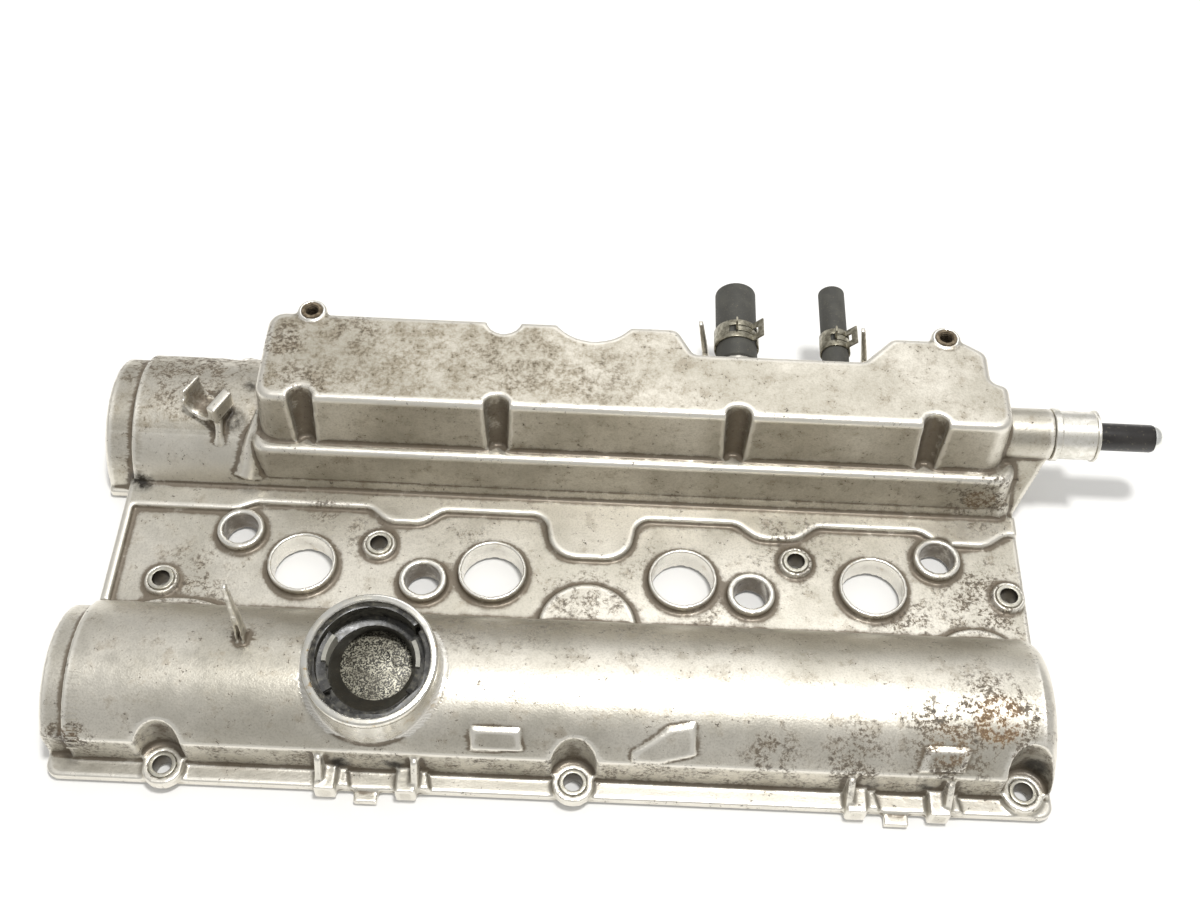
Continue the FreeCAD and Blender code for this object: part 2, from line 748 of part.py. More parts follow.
def groove_band(extra, z0, z1):
    """Band of the gasket, which passes every edge bolt on its inner side."""
    outer = prism(flange_points(), z0, z1, extra - gasket_edge)
    inner = prism(flange_points(), z0 - 1, z1 + 1, -gasket_edge - gasket_width - extra)
    near = sleeve_d / 2 + bolt_land
    for x, y in edge_bolts:
        outer = outer.cut(cylinder(x, y, z0 - 1, z1 + 1, near - extra))
        inner = inner.cut(cylinder(x, y, z0 - 2, z1 + 2, near + gasket_width + extra))
    return outer.cut(inner)


def drillings():
    """Bores, spanner bays, seats and grooves cut after the walls are in place."""
    cuts = []
    for x, y in front_bolts + rear_bolts:
        cuts.append(cylinder(x, y, front_boss_height, deep, socket_d / 2))
        cuts.append(cylinder(x, y, -1.0, front_boss_height + 1, sleeve_d / 2))
    for x, y in valley_bolts:
        cuts.append(cylinder(x, y, -1.0, valley_boss_height + 1, sleeve_d / 2))
    for wells, bore in ((large_wells, large_well_d), (small_wells, small_well_d)):
        for x, y in wells:
            cuts.append(cylinder(x, y, -1.0, well_height + 1, bore / 2))
            cuts.append(ring(x, y, -1.0, seal_depth + groove_clearance, seal_radius(bore) + groove_clearance,
                             bore / 2 + seal_land - groove_clearance))
    cuts.append(groove_band(groove_clearance, -1.0, gasket_depth))
    for x in ear_x:
        cuts.append(cylinder(x, ear_y, box_top + ear_proud - insert_length, box_top + deep, insert_d / 2))
    for x, d in ((large_hose_x, spigot_large_d), (small_hose_x, spigot_small_d)):
        cuts.append(rod(V(x, hose_boss_y - spigot_grip, hose_z), V(0, 1, 0), spigot_grip + 1, d / 2))
        cuts.append(rod(V(x, bay_floor_y - 3 * wall, hose_z), V(0, 1, 0),
                        hose_boss_y - bay_floor_y + 3 * wall, d / 2 - spigot_wall))
    cuts.append(rod(V(outlet_boss_x - tube_root, outlet_y, outlet_z), V(1, 0, 0), tube_root + 1, tube_root_d / 2))
    cuts.append(rod(V(box_right - 4 * wall, outlet_y, outlet_z), V(1, 0, 0), deep, tube_bore / 2))
    cuts.append(neck_inside())
    return cuts


def side_hole_margin():
    return window_width / 2 + (2 * separator_half - window_width) / 4


def screw_places():
    y = side_hole_margin()
    left = window_left + separator_margin
    step = (window_right - separator_margin - left) / (screw_columns - 1)
    return [(left + i * step, rear_axis_y + s * y) for i in range(screw_columns) for s in (-1, 1)]


def rivet_places():
    reach = tray_width / 2 + tray_flange / 2
    return [(neck_x - reach, front_axis_y), (neck_x + reach, front_axis_y)]


def casting():
    relief = valley_relief() + ears() + hose_bosses() + [outlet_boss(), shoulder()] + cradle()
    relief += [post(*p) for p in posts]
    relief += lugs() + pads() + bosses()
    body = solid_outside().fuse(relief)
    body = body.cut(solid_inside())
    body = body.cut(joined(drillings()))
    holes = [cylinder(x, y, web_z - 1, web_z + web_thickness + 1, screw_d / 2) for x, y in screw_places()]
    holes += [cylinder(x, y, pad_foot_z - 1, pad_foot_z + 5.0, rivet_d / 2) for x, y in rivet_places()]
    return body.cut(joined(holes)).removeSplitter()


def collar():
    """Bayonet collar in the neck: a sleeve with an inward floor and two ramps, open at one place."""
    way = neck_way()
    r_out = neck_bore / 2 - collar_clearance
    top = neck_point(collar_floor / 2)
    low = neck_point(neck_bore_depth - collar_clearance)
    height = (top - low).Length
    sleeve = rod(low, way, height, r_out).cut(rod(low - way, way, height + 2, r_out - collar_thickness))
    floor = rod(low, way, collar_floor, r_out).cut(rod(low - way, way, collar_floor + 2, collar_mouth / 2))
    ramp_low = neck_point(neck_bore_depth - collar_floor - ramp_drop)
    across = V(1, 0, 0)
    ramps = []
    for start in (-ramp_sweep / 2, 180 - ramp_sweep / 2):
        ledge = Part.makeCylinder(r_out - collar_thickness / 2, ramp_height, ramp_low, way, ramp_sweep)
        ledge.rotate(ramp_low, way, start)
        ledge = ledge.cut(rod(ramp_low - way, way, ramp_height + 2, r_out - collar_thickness - ramp_depth))
        ramps.append(ledge)
    body = sleeve.fuse([floor] + ramps)
    gap = block(-collar_gap / 2, collar_gap / 2, -r_out - 1, -r_out + collar_thickness + 2, 0.0, height)
    gap.rotate(V(0, 0, 0), V(0, 0, 1), 38.0)
    gap = gap.translated(V(0, 0, collar_floor))
    gap.rotate(V(0, 0, 0), across, neck_lean)
    return body.cut(gap.translated(low)).removeSplitter()


def tray():
    """Hat-shaped sheet under the neck: two short flanges, two legs and a floor."""
    half = tray_width / 2
    top = pad_foot_z
    floor = top - tray_drop
    s = tray_sheet
    upper = [(-half - tray_flange, top), (-half + s, top), (-half + s, floor + s), (half - s, floor + s),
             (half - s, top), (half + tray_flange, top)]
    lower = [(half + tray_flange, top - s), (half, top - s), (half, floor), (-half, floor),
             (-half, top - s), (-half - tray_flange, top - s)]
    points = [(neck_x + x, tray_front_y, z) for x, z in upper + lower]
    sheet = plate(points, V(0, 0, 0), V(0, tray_rear_y - tray_front_y, 0))
    reach = half + tray_flange + 1
    keep = tray_flange_depth / 2
    for y0, y1 in ((tray_front_y - 1, front_axis_y - keep), (front_axis_y + keep, tray_rear_y + 1)):
        sheet = sheet.cut(block(neck_x - reach, neck_x + reach, y0, y1, floor + 2 * s, top + 1))
    for x, y in rivet_places():
        sheet = sheet.cut(cylinder(x, y, top - 2 * s, top + 1, rivet_d / 2))
    return sheet


def rivets():
    shapes = []
    for x, y in rivet_places():
        low = pad_foot_z - tray_sheet
        head = cylinder(x, y, low - rivet_head_height, low, rivet_head / 2)
        shapes.append(head.fuse(cylinder(x, y, low, pad_foot_z + 4.0, rivet_d / 2)).removeSplitter())
    return Part.makeCompound(shapes)


def separator():
    sheet = block(window_left - separator_margin, window_right + separator_margin,
                  rear_axis_y - separator_half, rear_axis_y + separator_half,
                  web_z - separator_sheet, web_z)
    cuts = [cylinder(x, y, web_z - separator_sheet - 1, web_z + 1, screw_d / 2) for x, y in screw_places()]
    slot = window_width / 2
    for x in (window_left + separator_margin * 3, window_right - separator_margin * 3):
        cuts.append(block(x - slot / 2, x + slot / 2, rear_axis_y - slot / 3, rear_axis_y + slot / 3,
                          web_z - separator_sheet - 1, web_z + 1))
    return sheet.cut(joined(cuts))


def separator_screws():
    shapes = []
    low = web_z - separator_sheet
    for x, y in screw_places():
        head = cylinder(x, y, low - screw_head_height, low, screw_head / 2)
        shapes.append(head.fuse(cylinder(x, y, low, web_z + screw_length, screw_d / 2)).removeSplitter())
    return Part.makeCompound(shapes)


def gasket():
    return groove_band(0.0, -gasket_proud, gasket_depth)


def well_seals(wells, bore):
    shapes = []
    for x, y in wells:
        shapes.append(ring(x, y, -gasket_proud, seal_depth, seal_radius(bore), bore / 2 + seal_land))
    return Part.makeCompound(shapes)


def sleeves(places, top):
    """Steel sleeves, each rolled from strip with a narrow slit."""
    shapes = []
    for x, y in places:
        body = ring(x, y, 0.0, top + sleeve_proud, sleeve_d / 2, sleeve_bore / 2)
        slit = block(x + sleeve_bore / 4, x + sleeve_d, y - sleeve_proud, y + sleeve_proud, -1.0, top + deep)
        shapes.append(body.cut(slit))
    return Part.makeCompound(shapes)


def ear_inserts():
    top = box_top + ear_proud
    shapes = [ring(x, ear_y, top - insert_length, top, insert_d / 2, insert_bore / 2) for x in ear_x]
    return Part.makeCompound(shapes)


def spigot(x, d):
    start = V(x, hose_boss_y - spigot_grip, hose_z)
    length = spigot_grip + spigot_reach
    body = rod(start, V(0, 1, 0), length, d / 2)
    return body.cut(rod(start - V(0, 1, 0), V(0, 1, 0), length + 2, d / 2 - spigot_wall))


def hose(x, d, thick, end):
    start = V(x, hose_boss_y + hose_gap / 3, hose_z)
    length = end - start.y
    body = rod(start, V(0, 1, 0), length, d / 2)
    return body.cut(rod(start - V(0, 1, 0), V(0, 1, 0), length + 2, d / 2 - thick))


def band_clamp(x, d):
    r = d / 2
    outer = r + clamp_sheet
    y0 = hose_boss_y + clamp_from_boss
    third = clamp_width / 3
    thin = third - clamp_play

    def wedge(a, b, y, width):
        """Part of the band between two angles, seen along Y from the front."""
        steps = [a + (b - a) * i / 2 for i in range(3)]
        out = [V(outer * math.cos(math.radians(t)), y, outer * math.sin(math.radians(t))) for t in steps]
        inn = [V(r * math.cos(math.radians(t)), y, r * math.sin(math.radians(t))) for t in steps]
        wire = Part.Wire([Part.Arc(*out).toShape(), Part.LineSegment(out[2], inn[2]).toShape(),
                          Part.Arc(inn[2], inn[1], inn[0]).toShape(),
                          Part.LineSegment(inn[0], out[0]).toShape()])
        return Part.Face(wire).extrude(V(0, width, 0))

    def ear(angle, y, width, low):
        body = block(low, outer + clamp_ear, y, y + width, -clamp_sheet / 2, clamp_sheet / 2)
        body.rotate(V(0, 0, 0), V(0, 1, 0), -angle)
        return body

    lap = clamp_lap
    fork_ear = clamp_turn - lap
    tongue_ear = clamp_turn + lap
    body = [wedge(clamp_turn + clamp_mouth, clamp_turn + 360 - clamp_mouth, y0, clamp_width)]
    for y in (y0, y0 + clamp_width - thin):
        body.append(wedge(fork_ear, clamp_turn + clamp_mouth, y, thin))
        body.append(ear(fork_ear, y, thin, (r + outer) / 2))
    bridge = ear(fork_ear, y0, clamp_width, outer + clamp_ear / 2)
    body.append(bridge)
    middle = y0 + third + clamp_play
    narrow = third - 2 * clamp_play
    body.append(wedge(clamp_turn - clamp_mouth, tongue_ear, middle, narrow))
    body.append(ear(tongue_ear, middle, narrow, (r + outer) / 2))
    return joined(body).removeSplitter().translated(V(x, 0, hose_z))


def side_tube():
    face = V(outlet_boss_x, outlet_y, outlet_z)
    way = V(1, 0, 0)
    root = rod(face - way * (tube_root - 0.2), way, tube_root, tube_root_d / 2)
    collar_disc = rod(face, way, tube_collar, tube_collar_d / 2)
    barrel = rod(face, way, tube_reach, tube_d / 2)
    body = root.fuse([collar_disc, barrel])
    return body.cut(rod(face - way * (tube_root + 1), way, deep, tube_bore / 2)).removeSplitter()


def side_hose():
    start = V(outlet_boss_x + tube_reach - side_hose_seat, outlet_y, outlet_z)
    length = side_hose_seat + side_hose_reach
    body = rod(start, V(1, 0, 0), length, side_hose_d / 2)
    return body.cut(rod(start - V(1, 0, 0), V(1, 0, 0), length + 2, side_hose_d / 2 - side_hose_wall))


def side_plug():
    end = V(outlet_boss_x + tube_reach + side_hose_reach, outlet_y, outlet_z)
    way = V(1, 0, 0)
    stem = rod(end - way * plug_length, way, plug_length, side_hose_d / 2 - side_hose_wall)
    base = side_hose_d / 2 - 0.5
    ball = (base ** 2 + plug_dome ** 2) / (2 * plug_dome)
    dome = Part.makeSphere(ball, end + way * (plug_dome - ball))
    dome = dome.common(rod(end, way, plug_dome + 1, base))
    return stem.fuse(dome).removeSplitter()


def write(name, shape):
    shape.exportStep("parts/" + name + ".step")
    print(name, len(shape.Solids), round(shape.Volume, 1), shape.isValid())


os.makedirs("parts", exist_ok=True)
write("cover_casting", casting())
write("filler_collar", collar())
write("filler_baffle", tray())
write("filler_baffle_rivets", rivets())
write("separator_baffle", separator())
write("separator_baffle_screws", separator_screws())
write("perimeter_gasket", gasket())
write("large_well_seals", well_seals(large_wells, large_well_d))
write("small_well_seals", well_seals(small_wells, small_well_d))
write("front_flange_sleeves", sleeves(front_bolts, front_boss_height))
write("rear_flange_sleeves", sleeves(rear_bolts, front_boss_height))
write("valley_sleeves", sleeves(valley_bolts, valley_boss_height))
write("ear_inserts", ear_inserts())
write("large_spigot", spigot(large_hose_x, spigot_large_d))
write("small_spigot", spigot(small_hose_x, spigot_small_d))
write("large_hose", hose(large_hose_x, large_hose_d, large_hose_wall, large_hose_end))
write("small_hose", hose(small_hose_x, small_hose_d, small_hose_wall, small_hose_end))
write("large_hose_clamp", band_clamp(large_hose_x, large_hose_d))
write("small_hose_clamp", band_clamp(small_hose_x, small_hose_d))
write("side_tube", side_tube())
write("side_hose", side_hose())
write("side_plug", side_plug())
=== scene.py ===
# %% [markdown]
# # A cast aluminium valve cover, dressed for its portrait
# The cover sits on top of an engine and keeps the oil in. Its solids come ready made from the CAD
# step, and this lesson gives them cast fillets, machined faces, grime, rubber and steel.
# First the solids are loaded. They are the fixed frame that each piece is fitted to.

# %% Load the solids
import bpy
import bmesh
import math
import numpy as np
from mathutils import Matrix, Vector, kdtree


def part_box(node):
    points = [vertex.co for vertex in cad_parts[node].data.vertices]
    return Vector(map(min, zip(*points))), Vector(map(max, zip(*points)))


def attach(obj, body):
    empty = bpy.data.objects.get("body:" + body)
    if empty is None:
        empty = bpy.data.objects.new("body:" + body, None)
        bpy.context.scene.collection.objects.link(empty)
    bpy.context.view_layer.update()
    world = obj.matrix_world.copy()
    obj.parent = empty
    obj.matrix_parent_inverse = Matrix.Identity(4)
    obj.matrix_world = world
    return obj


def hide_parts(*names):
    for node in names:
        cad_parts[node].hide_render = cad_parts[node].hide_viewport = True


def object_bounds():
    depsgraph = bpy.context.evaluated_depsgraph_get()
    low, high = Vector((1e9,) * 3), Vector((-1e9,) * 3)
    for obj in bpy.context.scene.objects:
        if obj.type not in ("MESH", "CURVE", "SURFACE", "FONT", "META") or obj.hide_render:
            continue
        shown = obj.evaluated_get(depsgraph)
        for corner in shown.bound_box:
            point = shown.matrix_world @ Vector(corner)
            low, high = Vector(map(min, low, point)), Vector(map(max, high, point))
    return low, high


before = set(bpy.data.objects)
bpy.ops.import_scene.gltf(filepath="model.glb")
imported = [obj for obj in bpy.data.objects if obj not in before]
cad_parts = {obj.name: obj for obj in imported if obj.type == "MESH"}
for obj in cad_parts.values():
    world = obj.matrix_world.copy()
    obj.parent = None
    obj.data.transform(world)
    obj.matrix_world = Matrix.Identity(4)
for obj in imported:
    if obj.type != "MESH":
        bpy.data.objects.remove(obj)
cad_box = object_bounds()
MM = 0.001
print("solids loaded:", len(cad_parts))

# %% [markdown]
# The photograph was taken from above and in front, with the camera rolled a little. The camera's
# place was solved from the four large wells, whose real spacing is known, so the same pixels meet
# the same points of the part. A 45 mm lens on a 36 mm sensor is 1500 pixels for a 1200 pixel frame.

# %% The camera at the photograph's place
CAMERA_PLACE = (3.4, -367.2, 630.5)
PITCH = math.radians(54.5)
ROLL = math.radians(2.5)


def linked(name, data):
    """A new object in the scene."""
    made = bpy.data.objects.new(name, data)
    bpy.context.scene.collection.objects.link(made)
    return made


def camera_at(place, pitch, roll):
    forward = Vector((0, math.cos(pitch), -math.sin(pitch)))
    level = Vector((1, 0, 0))
    upright = Vector((0, math.sin(pitch), math.cos(pitch)))
    right = level * math.cos(roll) + upright * math.sin(roll)
    up = upright * math.cos(roll) - level * math.sin(roll)
    data = bpy.data.cameras.new("portrait_camera")
    data.lens = 45.0
    data.sensor_width = 36.0
    data.clip_start = 0.01
    data.clip_end = 20.0
    camera = linked("portrait_camera", data)
    turn = Matrix((right, up, -forward)).transposed().to_4x4()
    camera.matrix_world = Matrix.Translation(Vector(place) * MM) @ turn
    bpy.context.scene.camera = camera
    return camera


camera = camera_at(CAMERA_PLACE, PITCH, ROLL)
print("camera", [round(v, 3) for v in camera.location])

# %% [markdown]
# Materials are node trees. One small function adds a node, sets its properties and fills its
# sockets: a value goes in as a number, and another node's socket is linked. Colours are written as
# sRGB hex values, as a paint chart gives them, and one function turns them to the linear values
# that the renderer works in.

# %% Helpers for node trees


def linear(code, alpha=1.0):
    out = []
    for i in (0, 2, 4):
        v = int(code[i:i + 2], 16) / 255
        out.append(v / 12.92 if v <= 0.04045 else ((v + 0.055) / 1.055) ** 2.4)
    return (*out, alpha)


def add(tree, kind, inputs=None, **settings):
    n = tree.nodes.new(kind)
    for key, value in settings.items():
        setattr(n, key, value)
    for key, value in (inputs or {}).items():
        socket = n.inputs[key]
        if isinstance(value, bpy.types.NodeSocket):
            tree.links.new(value, socket)
        else:
            socket.default_value = value
    return n


def sums(tree, how, a, b):
    return add(tree, "ShaderNodeMath", {0: a, 1: b}, operation=how).outputs[0]


def times(tree, a, b):
    return sums(tree, "MULTIPLY", a, b)


def per_mm(size):
    return 1000.0 / size


print("aluminium grey in linear light:", [round(v, 3) for v in linear("c4c0b3")])

# %% [markdown]
# Every finish here has the same skeleton: a principled shader, a bump, and noise patterns read from
# Object coordinates, so the grain has its real size on every piece. `blend` mixes two colours by a
# mask, and `ramp` turns a pattern into a mask with soft limits.

# %% Helpers for finishes


def fresh_tree(block):
    """The emptied node tree of a material or a world."""
    block.use_nodes = True
    block.node_tree.nodes.clear()
    return block.node_tree


def start_finish(name):
    material = bpy.data.materials.new(name)
    tree = fresh_tree(material)
    output = add(tree, "ShaderNodeOutputMaterial")
    shader = add(tree, "ShaderNodeBsdfPrincipled")
    tree.links.new(shader.outputs[0], output.inputs["Surface"])
    place = add(tree, "ShaderNodeTexCoord").outputs["Object"]
    return material, tree, shader, place


def noise(tree, place, size, detail=3.0, rough=0.55):
    return add(tree, "ShaderNodeTexNoise", {"Vector": place, "Scale": per_mm(size),
                                            "Detail": detail, "Roughness": rough}).outputs["Fac"]


def ramp(tree, pattern, low, high, bottom=0.0, top=1.0):
    return add(tree, "ShaderNodeMapRange", {"Value": pattern, "From Min": low, "From Max": high,
                                            "To Min": bottom, "To Max": top},
               interpolation_type="SMOOTHSTEP").outputs["Result"]


def blend(tree, mask, under, over):
    return add(tree, "ShaderNodeMix", {0: mask, 6: under, 7: over}, data_type="RGBA").outputs[2]


def bump(tree, shader, height, depth_mm, strength):
    b = add(tree, "ShaderNodeBump", {"Height": height, "Distance": depth_mm * MM,
                                     "Strength": strength})
    tree.links.new(b.outputs["Normal"], shader.inputs["Normal"])


def feed(tree, shader, **sockets):
    for key, value in sockets.items():
        socket = shader.inputs[key.replace("_", " ")]
        if isinstance(value, bpy.types.NodeSocket):
            tree.links.new(value, socket)
        else:
            socket.default_value = value


def mask_from(tree, name):
    return add(tree, "ShaderNodeAttribute", attribute_name=name).outputs["Fac"]


print("finish helpers ready")

# %% [markdown]
# The cover is die cast from an aluminium-silicon alloy. The skin is pale grey with a warm tint,
# finely pitted where the metal froze against the die, and after years on an engine it holds brown
# oil film in its corners and dark specks on its open faces. Its corners are darkened further as
# painted shade, and its proud edges are lightened as wear and a painted highlight. The masks on the
# mesh come from a later cell: the colour follows them, and noise breaks them up. Grain is 0.9 mm
# where a real one is 0.3 mm, because a finer one would vanish in the picture.

# %% Die-cast aluminium
# The corner mask carries dirt and painted shade, the edge mask wear and a painted highlight, and
# the oil mask black oil and, in four patches, painted shade.
MASK_NAMES = ("corner", "wear_and_highlight", "machined", "oily", "browned", "dull")


def die_cast_aluminium():
    material, tree, shader, place = start_finish("die_cast_aluminium_stains_and_painted_light")
    corner, wear_and_highlight, machined, oily, browned, dull = (mask_from(tree, name) for name in MASK_NAMES)
    grain = noise(tree, place, 0.9, 2.0, 0.6)
    patch = noise(tree, place, 46.0, 4.0, 0.6)
    stain = noise(tree, place, 9.0, 6.0, 0.72)
    fleck = noise(tree, place, 1.9, 5.0, 0.76)
    # bare skin, then its dull mottle, then edges lightened as wear and a painted highlight
    skin = blend(tree, ramp(tree, patch, 0.36, 0.62), linear("bab5a8"), linear("d2cdc1"))
    skin = blend(tree, ramp(tree, grain, 0.4, 0.72, 0.0, 0.3), skin, linear("8d887c"))
    skin = blend(tree, ramp(tree, stain, 0.52, 0.68, 0.0, 0.45), skin, linear("8f8370"))
    mottle = times(tree, dull, ramp(tree, fleck, 0.38, 0.62, 0.35, 0.9))
    mottle = times(tree, mottle, ramp(tree, stain, 0.34, 0.6, 0.45, 1.35))
    skin = blend(tree, times(tree, mottle, 0.8), skin, linear("8a806c"))
    skin = blend(tree, ramp(tree, wear_and_highlight, 0.1, 0.8, 0.0, 0.7), skin, linear("e6e2d8"))
    # dirt and painted shade in corners, brown residue with a golden heart, black oil with painted
    # shade in four patches
    dirt_and_shade = times(tree, corner, ramp(tree, stain, 0.3, 0.6, 0.5, 1.3))
    skin = blend(tree, ramp(tree, dirt_and_shade, 0.12, 0.9, 0.0, 0.85), skin, linear("574a38"))
    blot = times(tree, browned, ramp(tree, stain, 0.36, 0.58, 0.2, 1.25))
    blot = times(tree, blot, ramp(tree, fleck, 0.42, 0.56, 0.15, 1.1))
    flecks = times(tree, ramp(tree, fleck, 0.58, 0.63), ramp(tree, stain, 0.46, 0.58, 0.0, 0.75))
    blot = sums(tree, "MAXIMUM", blot, flecks)
    brown = blend(tree, ramp(tree, fleck, 0.45, 0.65), linear("6f624f"), linear("41382d"))
    gold = blend(tree, ramp(tree, fleck, 0.4, 0.6), linear("96743f"), linear("5a3f22"))
    brown = blend(tree, ramp(tree, browned, 0.82, 0.98), brown, gold)
    skin = blend(tree, ramp(tree, blot, 0.12, 0.8, 0.0, 0.9), skin, brown)
    oil = times(tree, oily, ramp(tree, stain, 0.3, 0.55, 0.6, 1.2))
    skin = blend(tree, ramp(tree, oil, 0.25, 0.9), skin, linear("231e16"))
    # machined faces with the cutter's lay
    lay = add(tree, "ShaderNodeTexWave", {"Vector": place, "Scale": per_mm(2.6), "Distortion": 1.5,
                                          "Detail": 1.0}, bands_direction="Z").outputs["Fac"]
    cut = blend(tree, ramp(tree, lay, 0.2, 0.8), linear("d6d3ca"), linear("ebe8e0"))
    cut = blend(tree, ramp(tree, stain, 0.56, 0.72, 0.0, 0.5), cut, linear("b09560"))
    skin = blend(tree, machined, skin, cut)
    dirt_and_shade_cover = ramp(tree, dirt_and_shade, 0.1, 0.9)
    covered = ramp(tree, blot, 0.1, 0.8)
    rough = ramp(tree, stain, 0.3, 0.7, 0.33, 0.46)
    rough = sums(tree, "ADD", rough, times(tree, covered, 0.22))
    rough = sums(tree, "SUBTRACT", rough, times(tree, machined, 0.14))
    rough = sums(tree, "SUBTRACT", rough, times(tree, oily, 0.12))
    metal = sums(tree, "SUBTRACT", 0.93, times(tree, dirt_and_shade_cover, 0.5))
    metal = sums(tree, "SUBTRACT", metal, times(tree, covered, 0.6))
    metal = sums(tree, "SUBTRACT", metal, times(tree, oily, 0.5))
    feed(tree, shader, Base_Color=skin, Roughness=rough, Metallic=metal)
    height = sums(tree, "ADD", times(tree, grain, 0.7), times(tree, stain, 1.4))
    bump(tree, shader, times(tree, height, sums(tree, "SUBTRACT", 1.0, machined)), 0.12, 0.7)
    return material


cast_finish = die_cast_aluminium()
print("made", cast_finish.name)

# %% [markdown]
# The small parts share a few finishes. Zinc-plated steel has cloudy spangle and faint rust specks.
# The sheet baffles hang in oil mist and are blackened by it. The spring clamps are phosphated
# spring steel with worn edges. One recipe serves them all: a cloudy base, small pits, and a row of
# values for each metal. The bushings are darkened inside, where a mask on the mesh says so: this is
# painted shade.

# %% Finishes of metal trim


def worn_metal(name, base, cloud, mark, cloud_mm, rough_low, rough_high, metal, pit_mm, pit_depth,
               bore=None):
    material, tree, shader, place = start_finish(name)
    cloudy = noise(tree, place, cloud_mm, 4.0, 0.6)
    pits = noise(tree, place, pit_mm, 2.0, 0.6)
    colour = blend(tree, ramp(tree, cloudy, 0.36, 0.64), linear(base), linear(cloud))
    colour = blend(tree, ramp(tree, pits, 0.62, 0.74, 0.0, 0.7), colour, linear(mark))
    # the bore's faces take a darker colour: painted shade
    if bore:
        colour = blend(tree, mask_from(tree, "bore"), colour, linear(bore))
    rough = ramp(tree, cloudy, 0.3, 0.7, rough_low, rough_high)
    feed(tree, shader, Base_Color=colour, Roughness=rough, Metallic=metal)
    bump(tree, shader, pits, pit_depth, 0.6)
    return material


# base, cloud and mark colours; cloud size; roughness from, to; metallic; pit size, depth; colour of
# the painted shade in the bore
ZINC = ("c9c6bb", "a9a597", "6b5f49", 3.0, 0.28, 0.46)
METALS = {
    "zinc_plated_steel": (*ZINC, 0.95, 0.8, 0.05),
    "zinc_bushing_painted_bore_shade": (*ZINC, 0.9, 0.8, 0.05, "4b4436"),
    "oil_blackened_steel_sheet": ("4a4233", "2e281e", "6d604a", 6.0, 0.3, 0.5, 0.7, 1.4, 0.1),
    "rusted_steel_insert": ("857864", "5f5341", "8b6b45", 2.0, 0.6, 0.8, 0.5, 0.6, 0.1),
    "dull_steel_tube": ("8b8778", "6f6b5e", "4d4435", 5.0, 0.38, 0.55, 0.9, 1.0, 0.05),
    "phosphated_spring_steel": ("a8a392", "757061", "463e31", 2.5, 0.3, 0.46, 0.85, 0.8, 0.05),
    "turned_aluminium": ("e6e3db", "cfccc2", "8c7c5a", 4.0, 0.3, 0.42, 1.0, 0.9, 0.02),
    "polished_steel": ("f0f0ec", "e2e2dd", "b9b8b0", 6.0, 0.22, 0.34, 1.0, 2.0, 0.01),
    "machined_aluminium_rim": ("e6e4dc", "d0ccc0", "b3935a", 7.0, 0.16, 0.28, 1.0, 3.5, 0.01),
}
finish = {name: worn_metal(name, *row) for name, row in METALS.items()}
print("metal finishes:", len(finish))

# %% [markdown]
# The collar is glass-filled nylon, moulded, dark and slightly greasy. Rubber parts are matte, and a
# little grey where they are touched. Both are a dark base with a haze and a fine grain, without any
# metal in them, so they share a second recipe.

# %% Finishes of rubber and nylon


def soft_black(name, base, haze, haze_mm, rough_low, rough_high, grain_mm, grain_depth):
    material, tree, shader, place = start_finish(name)
    hazy = noise(tree, place, haze_mm, 4.0, 0.6)
    fine = noise(tree, place, grain_mm, 2.0, 0.5)
    colour = blend(tree, ramp(tree, hazy, 0.4, 0.66), linear(base), linear(haze))
    colour = blend(tree, ramp(tree, fine, 0.6, 0.75, 0.0, 0.4), colour, linear("77705c"))
    rough = ramp(tree, hazy, 0.3, 0.7, rough_low, rough_high)
    feed(tree, shader, Base_Color=colour, Roughness=rough)
    bump(tree, shader, fine, grain_depth, 0.6)
    return material


# base and haze colours; haze size; roughness from, to; grain size, depth
BLACKS = {
    "hose_rubber_matte": ("3d3c37", "4b4a44", 9.0, 0.62, 0.8, 0.9, 0.06),
    "seal_rubber": ("1e1d1b", "2a2926", 6.0, 0.5, 0.7, 0.8, 0.03),
    "moulded_nylon_rubbed": ("201e1a", "45433b", 3.2, 0.25, 0.42, 1.6, 0.02),
    "moulded_nylon_oily": ("1f1d19", "2f2b23", 5.0, 0.3, 0.5, 0.7, 0.04),
    # light grey: a painted highlight on the collar's worn tabs
    "nylon_wear_and_painted_highlight": ("8d8b80", "a5a297", 3.0, 0.4, 0.55, 1.2, 0.02),
    "glossy_nylon_tube": ("1d1a18", "2a2724", 12.0, 0.34, 0.42, 1.6, 0.01),
}
finish.update({name: soft_black(name, *row) for name, row in BLACKS.items()})
print("rubber and nylon finishes:", len(BLACKS))

# %% [markdown]
# The pieces are meshes that stand at the origin, so Object coordinates are the part's own. A few
# helpers weld the CAD triangles into closed skins, turn profiles into rings, make prisms, put a
# finished piece on the root body, and make modifiers real.

# %% Helpers for meshes


def welded(node):
    """A closed copy of a solid's loose triangles."""
    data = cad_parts[node].data.copy()
    work = bmesh.new()
    work.from_mesh(data)
    bmesh.ops.remove_doubles(work, verts=work.verts, dist=0.5e-6)
    work.to_mesh(data)
    work.free()
    data.materials.clear()
    return data


def shown(name, data, material):
    """A new piece at the origin, with its finish."""
    data.materials.clear()
    data.materials.append(material)
    return linked(name, data)


def settled(piece):
    """Its modifiers made real, one new mesh in place of the old."""
    graph = bpy.context.evaluated_depsgraph_get()
    data = bpy.data.meshes.new_from_object(piece.evaluated_get(graph))
    old = piece.data
    piece.modifiers.clear()
    piece.data = data
    bpy.data.meshes.remove(old)
    return piece


def modifier(piece, kind, **settings):
    m = piece.modifiers.new(kind.lower(), kind)
    for key, value in settings.items():
        setattr(m, key, value)
    return m


